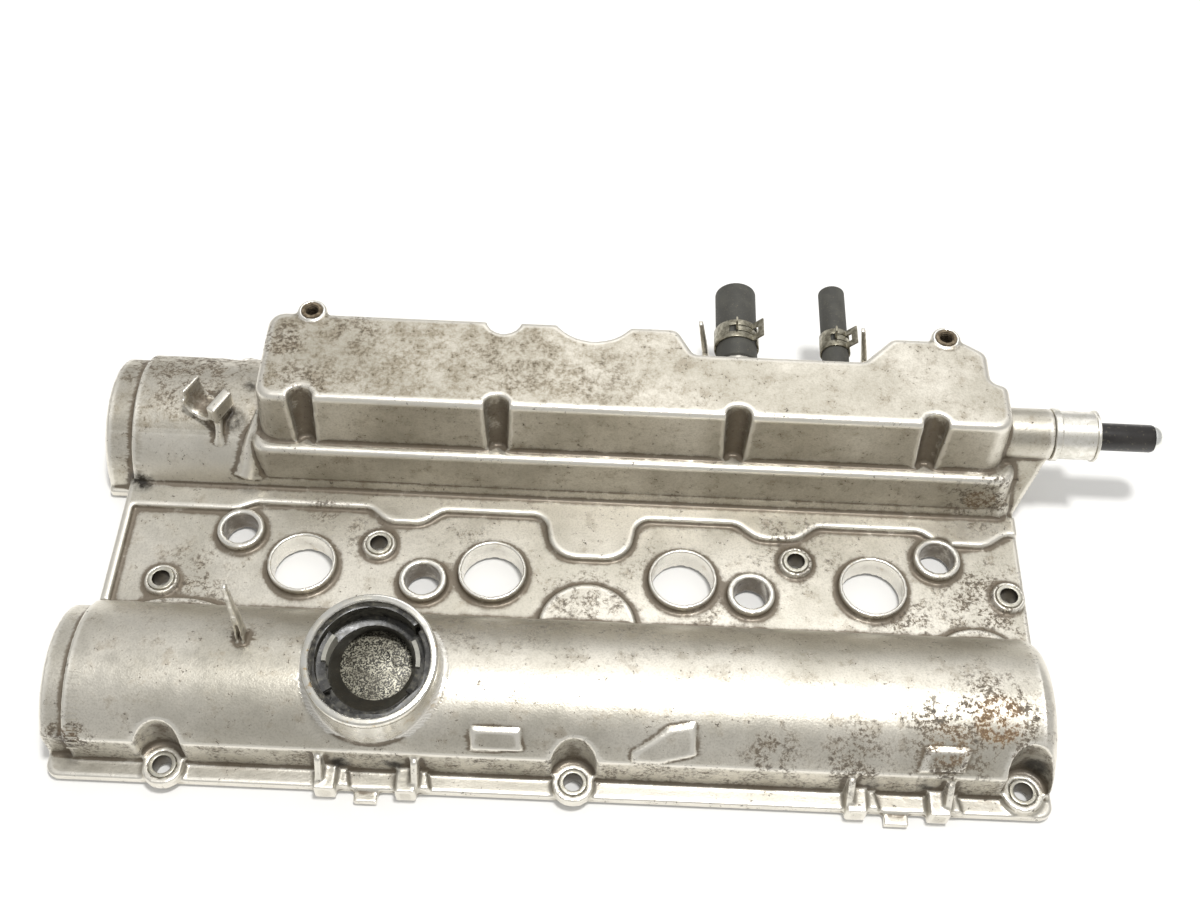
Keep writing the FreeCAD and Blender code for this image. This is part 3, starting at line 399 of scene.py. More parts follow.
def outward(data):
    """Welded, normals outward, smooth but for its sharp corners."""
    work = bmesh.new()
    work.from_mesh(data)
    bmesh.ops.remove_doubles(work, verts=work.verts, dist=1e-6)
    bmesh.ops.recalc_face_normals(work, faces=work.faces)
    for f in work.faces:
        f.smooth = True
    for e in work.edges:
        if len(e.link_faces) == 2 and e.calc_face_angle(0.0) > 0.5:
            e.smooth = False
    work.to_mesh(data)
    work.free()
    return data


def swept(loops, closed=True):
    """A skin through loops of points, round to the first one again or with both ends closed."""
    data = bpy.data.meshes.new("swept")
    n = len(loops[0])
    steps = len(loops) if closed else len(loops) - 1
    faces = []
    for k in range(steps):
        here, after = k * n, (k + 1) % len(loops) * n
        for i in range(n):
            faces.append((here + i, here + (i + 1) % n, after + (i + 1) % n, after + i))
    if not closed:
        faces += [tuple(range(n - 1, -1, -1)), tuple(steps * n + i for i in range(n))]
    data.from_pydata([p for loop in loops for p in loop], [], faces)
    return outward(data)


def spun(profile, start, way, steps=72):
    """A closed ring: profile is a loop of (distance along the axis, radius) in mm."""
    way = Vector(way).normalized()
    side = way.orthogonal().normalized()
    other = way.cross(side)
    loops = []
    for k in range(steps):
        a = 2 * math.pi * k / steps
        out = side * math.cos(a) + other * math.sin(a)
        loops.append([(Vector(start) + way * d + out * r) * MM for d, r in profile])
    return swept(loops)


def prism(outline, axis, low, high):
    """A closed prism: outline is a list of (y, z) for axis X or (x, y) for axis Z, in mm."""
    ends = []
    for t in (low, high):
        ends.append([(t, u, v) if axis == "X" else (u, v, t) for u, v in outline])
    return swept([[tuple(v * MM for v in p) for p in loop] for loop in ends], closed=False)


def gathered(meshes):
    """Several meshes in one, still overlapping."""
    work = bmesh.new()
    for data in meshes:
        work.from_mesh(data)
        bpy.data.meshes.remove(data)
    data = bpy.data.meshes.new("gathered")
    work.to_mesh(data)
    work.free()
    return data


def ride(piece, nodes=()):
    """A finished piece goes on the root body, in place of CAD nodes where it has any."""
    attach(piece, "root")
    if nodes:
        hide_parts(*nodes)
    return piece


def riding(name, data, material, nodes=()):
    return ride(shown(name, data, finish[material]), nodes)


print("mesh helpers ready")

# %% [markdown]
# In the photograph the front hump meets its flange in a flat wall, a few millimetres behind the
# flange's edge, and four square lugs with fins stand on the ledge in front of it. The solid has the
# flange, the hump and round lugs. So the skin starts from the solid, a boolean takes the hump back
# to that wall, and the wall, the bolt bosses and the lugs are laid over it as closed bodies. The
# voxel remesh afterwards fuses them into one casting with natural fillets.

# %% The ledge of the front flange
LEDGE_Z, WALL_Y, BAND_WALL_Y, WALL_THICK = 4.5, -100.6, -98.6, 3.2
WALL_FOOT, WALL_LEFT, BAND_LEFT = 3.6, -223.5, -234.0
FRONT_BOLTS = ((-182.8, -103.6), (-2.1, -103.6), (196.5, -98.9))
BAY_RADIUS, BOSS_RADIUS, BOSS_FOOT, BOSS_TOP, SLEEVE_RADIUS = 10.5, 9.2, 3.0, 8.8, 6.1
# each lug: middle, its fin's place from there, and the side that its wedge is on
LUGS = ((-110.6, -2.6, 1), (-75.3, 4.0, 1), (122.3, -3.2, 1), (158.6, 3.6, 1))


def wall(front, low, high, left, right):
    """A slab on the ledge: its front face's height is low, and its rear face's is high."""
    rear = front + WALL_THICK
    section = [(front, WALL_FOOT), (rear, WALL_FOOT), (rear, high), (front, low)]
    return prism(section, "X", left, right)


def front_walls():
    ends = [WALL_LEFT]
    for bolt_x, _ in FRONT_BOLTS:
        ends += [bolt_x - BAY_RADIUS + 0.2, bolt_x + BAY_RADIUS - 0.2]
    walls = [wall(WALL_Y, 23.6, 27.2, a, b) for a, b in zip(ends[0:6:2], ends[1:6:2])]
    return walls + [wall(BAND_WALL_Y, 21.6, 24.5, BAND_LEFT, WALL_LEFT + 1.0)]


def front_bosses():
    profile = [(BOSS_FOOT, BOSS_RADIUS), (BOSS_TOP, BOSS_RADIUS), (BOSS_TOP, SLEEVE_RADIUS),
               (BOSS_FOOT, SLEEVE_RADIUS)]
    return [spun(profile, (bx, by, 0), (0, 0, 1), 48) for bx, by in FRONT_BOLTS]


def lug(at, fin, side):
    block = prism([(at - 4.7, -99.5), (at + 4.7, -99.5), (at + 4.6, -112.2), (at - 4.6, -112.2)],
                  "Z", 0.6, 10.4)
    rib = prism([(-98.5, 3.0), (-98.5, 21.5), (-103.4, 21.5), (-109.0, 11.0), (-109.0, 3.0)], "X",
                at + fin - 1.6, at + fin + 1.6)
    wedge = prism([(at + side * 3.0, -99.5), (at + side * 8.2, -99.5), (at + side * 10.4, -109.2),
                   (at + side * 3.0, -109.2)], "Z", 3.0, 7.4)
    return [block, rib, wedge]


cutter_data = prism([(-250, -140), (220, -140), (220, WALL_Y), (-224, WALL_Y),
                     (-224, BAND_WALL_Y), (-250, BAND_WALL_Y)], "Z", LEDGE_Z, 30.0)
cutter = linked("wall_cutter", cutter_data)
casting = shown("casting_skin", welded("cover_casting"), cast_finish)
modifier(casting, "BOOLEAN", operation="DIFFERENCE", object=cutter, solver="MANIFOLD")
settled(casting)
bpy.data.objects.remove(cutter)
print("solid after the cut:", len(casting.data.polygons), "faces")
added = front_walls() + front_bosses()
for at, fin, side in LUGS:
    added += lug(at, fin, side)
casting.data = gathered([casting.data.copy()] + added)
casting.data.materials.append(cast_finish)

# %% [markdown]
# A casting has no sharp corners: each inner corner has a fillet and each outer corner is slightly
# rounded. The voxel remesh turns the solid into one even skin, and a few rounds of smoothing round
# its corners by about a millimetre, in the way that foundry wax would.

# %% The casting's skin
voxel = 0.8
modifier(casting, "REMESH", mode="VOXEL", voxel_size=voxel * MM, use_smooth_shade=True)
modifier(casting, "SMOOTH", factor=0.5, iterations=4)
settled(casting)
fine_count = len(casting.data.polygons)
print("even skin of", fine_count, "faces")

# %% [markdown]
# The solid's humps are made of narrow flats, which would show as stripes in a highlight. Points
# that lie within a fifth of a millimetre of the true cylinder are put back on it, and later they
# get the cylinder's own normals. The round foot of the filler neck is left as it is.

# %% True cylinders
# each hump: its axis in Y, radius, left end, right end
HUMPS = ((-66.0, 42.0, -223.5, 207.0), (-66.0, 39.4, -235.0, -225.0),
         (81.0, 40.0, -225.5, 207.0), (81.0, 37.4, -240.0, -227.0))
NECK_CLEAR = 34.5
LEAN = math.radians(10.0)
rim_middle = np.array((-91.0, -67.0 - 29.0 * math.sin(LEAN), 28.0 + 29.0 * math.cos(LEAN)))
rim_axis = np.array((0.0, -math.sin(LEAN), math.cos(LEAN)))


def round_neck(p):
    """Distance of points in mm along the neck's axis from its rim, and distance from the axis."""
    away = p - rim_middle
    along = away @ rim_axis
    return along, np.linalg.norm(away - along[:, None] * rim_axis, axis=1)


def on_hump(p, slack=0.2):
    """The points with those near a hump put on it, and the hump's normal there, or zero."""
    found = np.zeros_like(p)
    placed = p.copy()
    clear = round_neck(p / MM)[1] > NECK_CLEAR
    for axis_y, radius, left, right in HUMPS:
        dy, dz = p[:, 1] - axis_y * MM, p[:, 2]
        r = np.hypot(dy, dz)
        near_it = clear & (np.abs(r - radius * MM) < slack * MM) & (dz > 0.006)
        near_it &= (p[:, 0] > left * MM) & (p[:, 0] < right * MM)
        found[near_it, 1] = dy[near_it] / r[near_it]
        found[near_it, 2] = dz[near_it] / r[near_it]
        placed[near_it, 1] = axis_y * MM + found[near_it, 1] * radius * MM
        placed[near_it, 2] = found[near_it, 2] * radius * MM
    return placed, found


def put(data, p):
    data.vertices.foreach_set("co", p.astype(np.float32).ravel())
    data.update()


print("humps:", len(HUMPS))

# %% [markdown]
# The colour darkens where the surface is hollow, as dirt and painted shade, and lightens where it
# stands proud, as wear and a painted highlight. To find both, each point is averaged with its
# neighbours many times: a point that the average leaves on its open side lies in a hollow, and one
# left on its inner side lies on an edge. The sums run over all edges at once, so they take a second
# or two.

# %% Where the skin is hollow and where it is proud


def read(items, label, width, kind):
    out = np.zeros(len(items) * width, kind)
    items.foreach_get(label, out)
    return out.reshape(-1, width)


def coordinates(data):
    return read(data.vertices, "co", 3, np.float32).astype(np.float64)


def normals(data):
    return read(data.vertices, "normal", 3, np.float32).astype(np.float64)


def hollowness(data, rounds):
    here = coordinates(data)
    out = normals(data)
    ends = read(data.edges, "vertices", 2, np.int64)
    size = len(here)
    count = np.bincount(ends.ravel(), minlength=size).astype(np.float64)
    moved = here.copy()
    for _ in range(rounds):
        total = np.zeros_like(moved)
        for k in range(3):
            total[:, k] = (np.bincount(ends[:, 0], moved[ends[:, 1], k], minlength=size)
                           + np.bincount(ends[:, 1], moved[ends[:, 0], k], minlength=size))
        moved = 0.5 * moved + 0.5 * total / np.maximum(count, 1)[:, None]
    return ((moved - here) * out).sum(axis=1)


put(casting.data, on_hump(coordinates(casting.data))[0])
near = hollowness(casting.data, 17)
wide = hollowness(casting.data, 90)
print("hollow from", round(near.min() * 1000, 2), "to", round(near.max() * 1000, 2), "mm")

# %% [markdown]
# The even skin has far more triangles than its flat walls need. The collapse spends few on them and
# keeps them in the fillets. What was measured on the fine skin is carried over to the nearest point
# of the light one, and the humps get their exact normals.

# %% Fewer triangles on the flat walls
PIECE_LIMIT, PIECES = 188000, 4
fine_places = coordinates(casting.data)
share = min(1.0, PIECES * PIECE_LIMIT / (2 * fine_count))
modifier(casting, "DECIMATE", decimate_type="COLLAPSE", ratio=share)
settled(casting)
for face in casting.data.polygons:
    face.use_smooth = True
tree_of_places = kdtree.KDTree(len(fine_places))
for i, p in enumerate(fine_places):
    tree_of_places.insert(p, i)
tree_of_places.balance()
places, rounded = on_hump(coordinates(casting.data), 0.12)
put(casting.data, places)
facing = normals(casting.data)
exact = (np.abs(rounded).sum(axis=1) > 0) & ((rounded * facing).sum(axis=1) > 0.9)
facing[exact] = rounded[exact]
nearest = np.array([tree_of_places.find(p)[1] for p in places])
print("triangles kept:", len(casting.data.polygons))

# %% [markdown]
# The masks are plain numbers on the mesh's points. `machined` marks what a cutter has touched after
# casting: the underside of the flange, the filler neck's rim and the tops of the ears. The corner
# mask (dirt and painted shade) and the edge mask (wear and a painted highlight) come from the
# hollowness, stronger where the skin is fine. The ledge in front and the lugs' fins get little
# corner darkening and a painted highlight, as they are bright in the photograph.

# %% Masks of shape
x, y, z = (places / MM).T
near_here = near[nearest] / MM
wide_here = wide[nearest] / MM
gain = 2.1
# Hollows are darkened as dirt and painted shade; proud edges are lightened as wear and a painted
# highlight.
dirt_and_shade_mask = np.clip(near_here * 2.6 * gain, 0, 1) * 0.75
dirt_and_shade_mask += np.clip(wide_here * 0.4 * gain, 0, 1) * 0.5
wear_and_highlight_mask = np.clip(-near_here * 2.4 * gain - 0.12, 0, 1)
in_front = y < -101.2
ledge = (z < 11.5) & (z > 3.5) & in_front
# The ledge in front: less of the painted corner shade, and a painted highlight.
dirt_and_shade_mask[ledge] *= 0.3
wear_and_highlight_mask[ledge] = np.maximum(wear_and_highlight_mask[ledge], 0.35)
fins = in_front & (z > 11.5) & (z < 23.0)
# The lugs' fins: little painted corner shade, and a strong painted highlight.
dirt_and_shade_mask[fins] *= 0.2
wear_and_highlight_mask[fins] = 0.8
under = (z < 0.35) & (facing[:, 2] < -0.8)
along_rim, round_rim = round_neck(places / MM)
rim_top = (along_rim > -0.9) & (round_rim < 29.0) & (round_rim > 25.0)
rim_side = (along_rim > -4.3) & (along_rim < 0.6) & (round_rim > 27.0) & (round_rim < 30.0)
neck_skirt = (round_rim > 26.3) & (round_rim < 32.5) & (along_rim > -23.0) & (z > 30.0)
ear_top = np.zeros(len(x), bool)
for ear_x in (-139.8, 169.7):
    ear_top |= (np.hypot(x - ear_x, y - 107.8) < 7.6) & (z > 71.0)
# wells: distance from the middle, Y, bore and rim; the narrow bores are darkened through the corner
# mask, as dirt and painted shade
well_rim = np.zeros(len(x), bool)
for well_x, well_y, bore, rim in ((136.5, 0.0, 14.6, 16.4), (45.5, 0.0, 14.6, 16.4),
                                  (168.7, 17.5, 8.4, 11.3), (78.1, -6.4, 8.4, 11.3)):
    round_well = np.hypot(np.abs(x) - well_x, y - well_y)
    narrow = bore < 10
    in_bore = round_well < bore + 0.8
    well_rim |= (round_well < rim) & ((z > 13.2) | (in_bore & (not narrow))) & (z < 14.5)
    if narrow:
        dirt_and_shade_mask[(round_well < bore + 1.0) & (z < 12.9)] = 0.75
machined_mask = (under | rim_top | rim_side | ear_top).astype(float)
machined_mask = np.maximum(machined_mask, 0.75 * neck_skirt)
machined_mask = np.maximum(machined_mask, 0.6 * well_rim)
print("machined points:", int((machined_mask > 0.5).sum()))

# %% [markdown]
# The other masks follow the photograph: `oily` marks its black residue, and four of its patches,
# on the wall beside the lugs, are painted shade. `browned` marks its brown stains, and `dull` the
# faces whose colour is mottled darker. A strip at the rear hump's foot gets a painted highlight
# through the edge mask. They are soft round patches, and the finish breaks them up with noise.

# %% Masks of age


def spotted(spots):
    """Soft round patches: X, Y, Z, radius and amount, in millimetres."""
    out = np.zeros(len(x))
    for sx, sy, sz, radius, amount in spots:
        away = np.sqrt((x - sx) ** 2 + (y - sy) ** 2 + (z - sz) ** 2)
        out = np.maximum(out, amount * np.clip(1.4 - away / radius, 0, 1))
    return out


# X, Y, Z, radius and amount; the first four patches, on the wall beside the lugs, are painted
# shade, the others black oil
OIL_AND_SHADE_SPOTS = (
    (-104.5, -100.6, 13, 5.5, 0.75), (-81.5, -100.6, 13, 5.5, 0.75), (129, -100.6, 13, 5, 0.6),
    (152, -100.6, 13, 5, 0.6), (-184, 78, 40, 6, 0.45), (-176, 66, 34, 8, 0.7),
    (-170, 84, 44, 7, 0.75), (-222, 44, 10, 8, 0.9), (-121, -60, 38, 6, 0.6),
    (-224, -101, 22, 9, 0.5), (203, -88, 16, 10, 0.7))
BROWN_SPOTS = (
    (-152, 88, 71, 14, 0.7), (-120, 80, 71, 26, 0.3), (-40, 80, 71, 30, 0.35),
    (4, 72, 71, 22, 0.3), (-140, 66, 71, 16, 0.5), (-118, 98, 71, 18, 0.45),
    (-200, 92, 39, 30, 0.7), (-228, 98, 34, 18, 0.6), (-20, -43, 35, 24, 0.4),
    (-60, -42, 35, 24, 0.45), (25, -46, 38, 20, 0.35), (-195, -50, 38, 22, 0.35),
    (-150, -50, 39, 20, 0.3), (181, -80, 40, 22, 1.0), (160, -90, 35, 22, 0.9),
    (120, -96, 29, 18, 0.75), (84, -96, 28, 18, 0.6), (192, -90, 34, 12, 0.8),
    (190, 47, 24, 18, 0.9), (-222, -100, 24, 12, 0.9), (-190, -12, 9, 26, 0.55),
    (2, -14, 9, 26, 0.5), (26, 6, 9, 20, 0.35), (190, -4, 9, 26, 0.7),
    (150, -16, 9, 22, 0.6), (-110, 18, 9, 16, 0.45), (-130, 32, 10, 14, 0.5),
    (-60, 16, 9, 20, 0.35), (100, 20, 9, 26, 0.5), (60, -18, 9, 24, 0.4))
dull_mask = np.zeros(len(x))
box_top = (z > 64) & (facing[:, 2] > 0.5)
dull_mask[box_top] = np.clip((110.0 - x[box_top]) / 130.0, 0.32, 1.0)
dull_mask[(y > 60) & (x < -160) & (z > 20) & (facing[:, 2] > 0.3)] = 0.7
dull_mask[(y > 38) & (facing[:, 1] < -0.6) & (z > 14)] = 0.3
# A painted highlight on the rear hump's foot, laid into the edge mask.
rear_foot_highlight = (x < -165) & (x > -222) & (y > 40) & (y < 58) & (z > 10) & (z < 34)
wear_and_highlight_mask[rear_foot_highlight] = np.maximum(wear_and_highlight_mask[rear_foot_highlight], 0.45)
inside = (z < 60) & (round_rim < 25.8) & (along_rim < -1.5) & (along_rim > -50)
oil_and_shade_mask = np.maximum(spotted(OIL_AND_SHADE_SPOTS), inside * 0.75)
inner_side = (facing[:, 2] < 0.2) & (z < 40) & (z > 0.4) & (np.abs(y + 66) < 38.8)
browned_mask = np.maximum(np.maximum(spotted(BROWN_SPOTS), 0.08), inner_side * 0.45)
MASKS = {"corner": dirt_and_shade_mask, "wear_and_highlight": wear_and_highlight_mask, "machined": machined_mask,
         "oily": np.clip(oil_and_shade_mask, 0, 1), "dull": dull_mask,
         "browned": np.clip(browned_mask, 0, 1)}
for name, values in MASKS.items():
    print(name, "covers", round(float((values > 0.3).mean()) * 100, 1), "% of the points")

# %% [markdown]
# One piece may hold no more than 200,000 triangles, and the casting needs more than that to keep
# its highlights smooth. So its faces are sorted from front to rear and shared out among a few
# pieces of at most 188,000 triangles each. Their shared borders have the same points and normals,
# and no seam shows.

# %% The casting in a few pieces
data = casting.data
data.calc_loop_triangles()
triangles = read(data.loop_triangles, "vertices", 3, np.int64)
order = np.argsort(y[triangles].mean(axis=1), kind="stable")
count = math.ceil(len(triangles) / PIECE_LIMIT)
for k, chosen in enumerate(np.array_split(triangles[order], count)):
    used, local = np.unique(chosen, return_inverse=True)
    part = bpy.data.meshes.new("casting_part")
    part.from_pydata(places[used].tolist(), [], local.reshape(-1, 3).tolist())
    part.polygons.foreach_set("use_smooth", np.ones(len(chosen), bool))
    for name, values in MASKS.items():
        layer = part.attributes.new(name, "FLOAT", "POINT")
        layer.data.foreach_set("value", values[used].astype(np.float32))
    part.normals_split_custom_set_from_vertices(facing[used].tolist())
    ride(shown("casting_%d" % (k + 1), part, cast_finish), ["cover_casting"])
    print("casting piece", k + 1, "triangles:", len(chosen))
bpy.data.objects.remove(casting)

# %% [markdown]
# The pressed, turned and moulded parts have crisp shapes already. Each gets a closed copy with its
# flat areas joined, a small rounding on its sharp edges, and smooth shading elsewhere, so light
# runs along its edges as it does on real sheet and rubber. The collar is turned by a quarter,
# because in the photograph its ramps lie left and right.

# %% Crisp parts with rounded edges


def crisp(node, name, material, slot, rounding):
    data = welded(node)
    work = bmesh.new()
    work.from_mesh(data)
    bmesh.ops.dissolve_limit(work, angle_limit=math.radians(1.2), verts=work.verts,
                             edges=work.edges)
    for f in work.faces:
        f.smooth = True
    work.to_mesh(data)
    work.free()
    piece = shown(name, data, finish[material])
    modifier(piece, "BEVEL", width=rounding * MM, segments=2, limit_method="ANGLE",
             angle_limit=math.radians(38.0), harden_normals=True, use_clamp_overlap=True)
    return ride(settled(piece), [node])


# node, name of the piece, finish, slot, rounding in mm
SHEET, SEAL = "oil_blackened_steel_sheet", "seal_rubber"
CRISP = (
    ("filler_collar", "bayonet_collar", "moulded_nylon_rubbed", "black_collar", 0.25),
    ("filler_baffle", "splash_tray", SHEET, "oiled_steel", 0.2),
    ("filler_baffle_rivets", "tray_rivets", SHEET, "oiled_steel", 0.2),
    ("separator_baffle", "separator_sheet", SHEET, "oiled_steel", 0.2),
    ("large_well_seals", "coil_well_seals", SEAL, "seal_rubber", 0.4),
    ("small_well_seals", "plug_well_seals", SEAL, "seal_rubber", 0.4),
    ("ear_inserts", "threaded_inserts", "rusted_steel_insert", "rusty_insert", 0.2),
    ("large_spigot", "wide_nipple", "dull_steel_tube", "spigot_steel", 0.2),
    ("small_spigot", "narrow_nipple", "dull_steel_tube", "spigot_steel", 0.2),
    ("large_hose_clamp", "wide_clamp", "phosphated_spring_steel", "clamp_steel", 0.18),
    ("small_hose_clamp", "narrow_clamp", "phosphated_spring_steel", "clamp_steel", 0.18),
)
for row in CRISP:
    piece = crisp(*row)
    print(piece.name, len(piece.data.polygons))
    if piece.name == "bayonet_collar":
        there = Matrix.Translation(Vector(rim_middle) * MM)
        quarter = Matrix.Rotation(math.radians(90.0), 4, Vector(rim_axis))
        piece.data.transform(there @ quarter @ there.inverted())

# %% [markdown]
# The two rubber hoses are turned shapes: their walls are squeezed in under the clamp and end in a
# clean cut with a small radius. Their sizes are read from the solids' boxes.

# %% Rear hoses
PINCH, LIP = 0.12, 0.9


def hose_profile(length, outer, inner, clamp_start, clamp_width):
    """Outer wall from the boss to the cut end, then back along the bore."""
    a, b = clamp_start, clamp_start + clamp_width
    squeezed = outer - PINCH
    loop = [(0.0, outer - LIP), (LIP, outer), (a - 4.0, outer), (a - 1.6, outer),
            (a - 0.2, squeezed), (b + 0.2, squeezed), (b + 1.6, outer), (b + 4.0, outer),
            (b + 9.0, outer)]
    loop += [(length - LIP * (1 - math.sin(t)), outer - LIP * (1 - math.cos(t)))
             for t in (0, 0.5, 1.0, 1.57)]
    return loop + [(length, inner + 0.4), (length - 0.4, inner), (0.4, inner), (0.0, inner + 0.4)]


for node, clamp, name, thick in (("large_hose", "large_hose_clamp", "wide_hose", 3.0),
                                 ("small_hose", "small_hose_clamp", "narrow_hose", 2.6)):
    low, high = (np.array(c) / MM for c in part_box(node))
    clamp_low, clamp_high = (np.array(c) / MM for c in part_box(clamp))
    outer = (high[0] - low[0]) / 2
    middle = ((low[0] + high[0]) / 2, low[1], (low[2] + high[2]) / 2)
    profile = hose_profile(high[1] - low[1], outer - 0.02, outer - thick, clamp_low[1] - low[1],
                           clamp_high[1] - clamp_low[1])
    hose = riding(name, spun(profile, middle, (0, 1, 0)), "hose_rubber_matte",
                  [node])
    print(name, "outer radius", round(float(outer), 2), "mm,", len(hose.data.polygons), "faces")

# %% [markdown]
# The side outlet is turned too: an aluminium tube with a ring at its root and a lip at its mouth, a
# glossy tube pushed into it, and a domed steel plug at the end. Each profile is a closed loop of
# distances from the boss and radii.

# %% Side outlet
OUTLET, PLUG_DOME = (221.0, 70.0, 47.0), 4.9
tube_profile = [(-8.8, 9.5), (0.0, 9.5), (0.1, 12.4), (0.5, 12.8), (3.2, 12.8), (3.6, 12.4),
                (3.9, 11.75), (20.2, 11.8), (20.6, 12.5), (21.0, 12.6), (21.6, 12.6),
                (22.0, 12.2), (22.0, 7.4), (21.4, 6.9), (-8.4, 6.9), (-8.8, 7.2)]
hose_line = [(8.0, 6.75), (22.5, 6.75), (48.8, 6.75), (49.7, 6.5), (50.0, 6.0), (50.0, 4.6),
             (8.0, 4.6)]
dome = [(50.3 + PLUG_DOME * math.sin(t), 6.3 * math.cos(t) ** 0.9)
        for t in np.linspace(0.0, 1.5, 12)]
plug_line = [(44.6, 4.5), (50.1, 4.5), (50.1, 6.3)] + dome + [(55.3, 0.05), (44.6, 0.05)]
for name, profile, steps, material, slot, node in (
        ("side_outlet_tube", tube_profile, 96, "turned_aluminium", "turned_aluminium", "side_tube"),
        ("side_outlet_hose", hose_line, 72, "glossy_nylon_tube", "glossy_hose", "side_hose"),
        ("domed_plug", plug_line, 64, "polished_steel", "polished_steel", "side_plug")):
    riding(name, spun(profile, OUTLET, (1, 0, 0), steps), material, [node])
print("side outlet ends at", round(OUTLET[0] + 55.3, 1), "mm")

# %% [markdown]
# The filler neck is the eye of the picture. Its rim is turned bright, a black funnel leads from the
# collar down to a pressed dish, and the dish is sheet metal that oil has left speckled. The funnel
# and the dish sit a little to the rear of the neck's axis, as the photograph shows. Two light grey
# bars on the collar are a painted highlight on its worn tabs.

# %% Rim, funnel and dish of the filler neck
FULL, DISH_DEPTH = 360.0, 24.0


def leaning_band(loop, middle_angle=0.0, sweep=FULL, steps=96):
    """A band round the neck's axis: loop is a list of (depth, radius, shift to the rear) in mm."""
    axis = Vector(rim_axis)
    side = Vector((1, 0, 0))
    rear = axis.cross(side)
    closed = sweep == FULL
    loops = []
    for k in range(steps if closed else steps + 1):
        turned = sweep * k / steps - (0 if closed else sweep / 2)
        a = math.radians(middle_angle + turned)
        out = side * math.cos(a) + rear * math.sin(a)
        loops.append([(Vector(rim_middle) - axis * depth + rear * shift + out * radius) * MM
                      for depth, radius, shift in loop])
    return swept(loops, closed)


def speckled_sheet():
    """Sheet steel with a grainy film of old oil. Grains are 0.8 mm, where real ones are finer."""
    material, tree, shader, place = start_finish("oil_speckled_sheet")
    grains = noise(tree, place, 0.8, 2.0, 0.7)
    film = noise(tree, place, 8.0, 3.0, 0.6)
    colour = blend(tree, ramp(tree, grains, 0.47, 0.57), linear("2b2821"), linear("a9a593"))
    colour = blend(tree, ramp(tree, film, 0.45, 0.65, 0.0, 0.6), colour, linear("4d483b"))
    rough = ramp(tree, film, 0.3, 0.7, 0.3, 0.5)
    feed(tree, shader, Base_Color=colour, Roughness=rough, Metallic=0.3)
    bump(tree, shader, grains, 0.2, 0.6)
    return material


finish["oil_speckled_sheet"] = speckled_sheet()
rim_profile = [(-4.5, 28.1), (-4.1, 29.2), (-3.6, 29.45), (-1.0, 29.45), (-0.2, 29.1),
               (0.2, 28.5), (0.25, 28.2), (0.25, 26.7), (-0.1, 26.25), (-4.5, 26.1)]
funnel_loop = [(14.2, 20.3, 0.0), (14.0, 19.3, 0.0), (16.0, 18.9, 0.6), (23.2, 15.9, 4.3),
               (23.6, 16.4, 4.4), (17.0, 20.2, 0.7)]
dish_loop = [(DISH_DEPTH, 0.02, 4.4), (DISH_DEPTH, 15.6, 4.4), (24.5, 16.6, 4.4),
             (31.0, 17.6, 5.0), (31.0, 0.02, 5.0)]
highlight_tab_loop = [(5.2, 21.3, 0.0), (5.2, 19.4, 0.0), (14.6, 19.4, 0.0), (14.6, 21.3, 0.0)]
riding("machined_rim", spun(rim_profile, rim_middle, rim_axis, 128), "machined_aluminium_rim")
riding("filler_funnel", leaning_band(funnel_loop), "moulded_nylon_oily")
riding("filler_dish", leaning_band(dish_loop), "oil_speckled_sheet")
for across, back, radius in ((3.0, 9.0, 2.2), (9.6, 7.0, 2.6)):
    axis = Vector(rim_axis)
    rear = axis.cross(Vector((1, 0, 0)))
    middle = Vector(rim_middle) - axis * DISH_DEPTH + rear * back + Vector((across, 0, 0))
    loop = [(0.28 * math.sin(t), radius + 0.28 * math.cos(t))
            for t in np.linspace(0, 2 * math.pi, 9)[:-1]]
    riding("dish_mark_%d" % round(radius * 10), spun(loop, middle, rim_axis, 40),
           "oil_speckled_sheet")
# two light grey bars: a painted highlight on the collar's worn tabs
for k, middle_angle in enumerate((14.0, 163.0)):
    riding("collar_tab_highlight_%d" % (k + 1), leaning_band(highlight_tab_loop, middle_angle, 34.0, 14),
           "nylon_wear_and_painted_highlight")
print("neck pieces:", 7)

# %% [markdown]
# What repeats, or follows a path, is grown by Geometry Nodes. A helper makes a tree with named
# inputs, another sets the inputs on a modifier by their identifiers, evaluates the result once, and
# keeps it as a plain mesh. The tree ends in Realize Instances and Set Material, because instances
# would be lost on export.

# %% Helpers for Geometry Nodes


def geo(tree, kind, inputs=None, **settings):
    """A geometry node's first output."""
    return add(tree, "GeometryNode" + kind, inputs, **settings).outputs[0]


def grow_tree(name, sizes):
    tree = bpy.data.node_groups.new(name, "GeometryNodeTree")
    tree.interface.new_socket("Geometry", in_out="INPUT", socket_type="NodeSocketGeometry")
    for label, value in sizes.items():
        socket = tree.interface.new_socket(label, in_out="INPUT", socket_type="NodeSocketFloat")
        socket.default_value = value
    tree.interface.new_socket("Geometry", in_out="OUTPUT", socket_type="NodeSocketGeometry")
    return tree, add(tree, "NodeGroupInput").outputs


def end_tree(tree, grown, material):
    real = geo(tree, "RealizeInstances", {0: grown})
    done = geo(tree, "SetMaterial", {"Geometry": real, "Material": material})
    add(tree, "NodeGroupOutput", {0: done})
    return tree


def on_points(tree, sizes, one, material, **more):
    """One shape on each point of the base mesh."""
    many = geo(tree, "InstanceOnPoints", {"Points": sizes["Geometry"], "Instance": one, **more})
    return end_tree(tree, many, material)


def points_mesh(name, places):
    data = bpy.data.meshes.new(name)
    data.from_pydata([tuple(v * MM for v in p) for p in places], [], [])
    return data


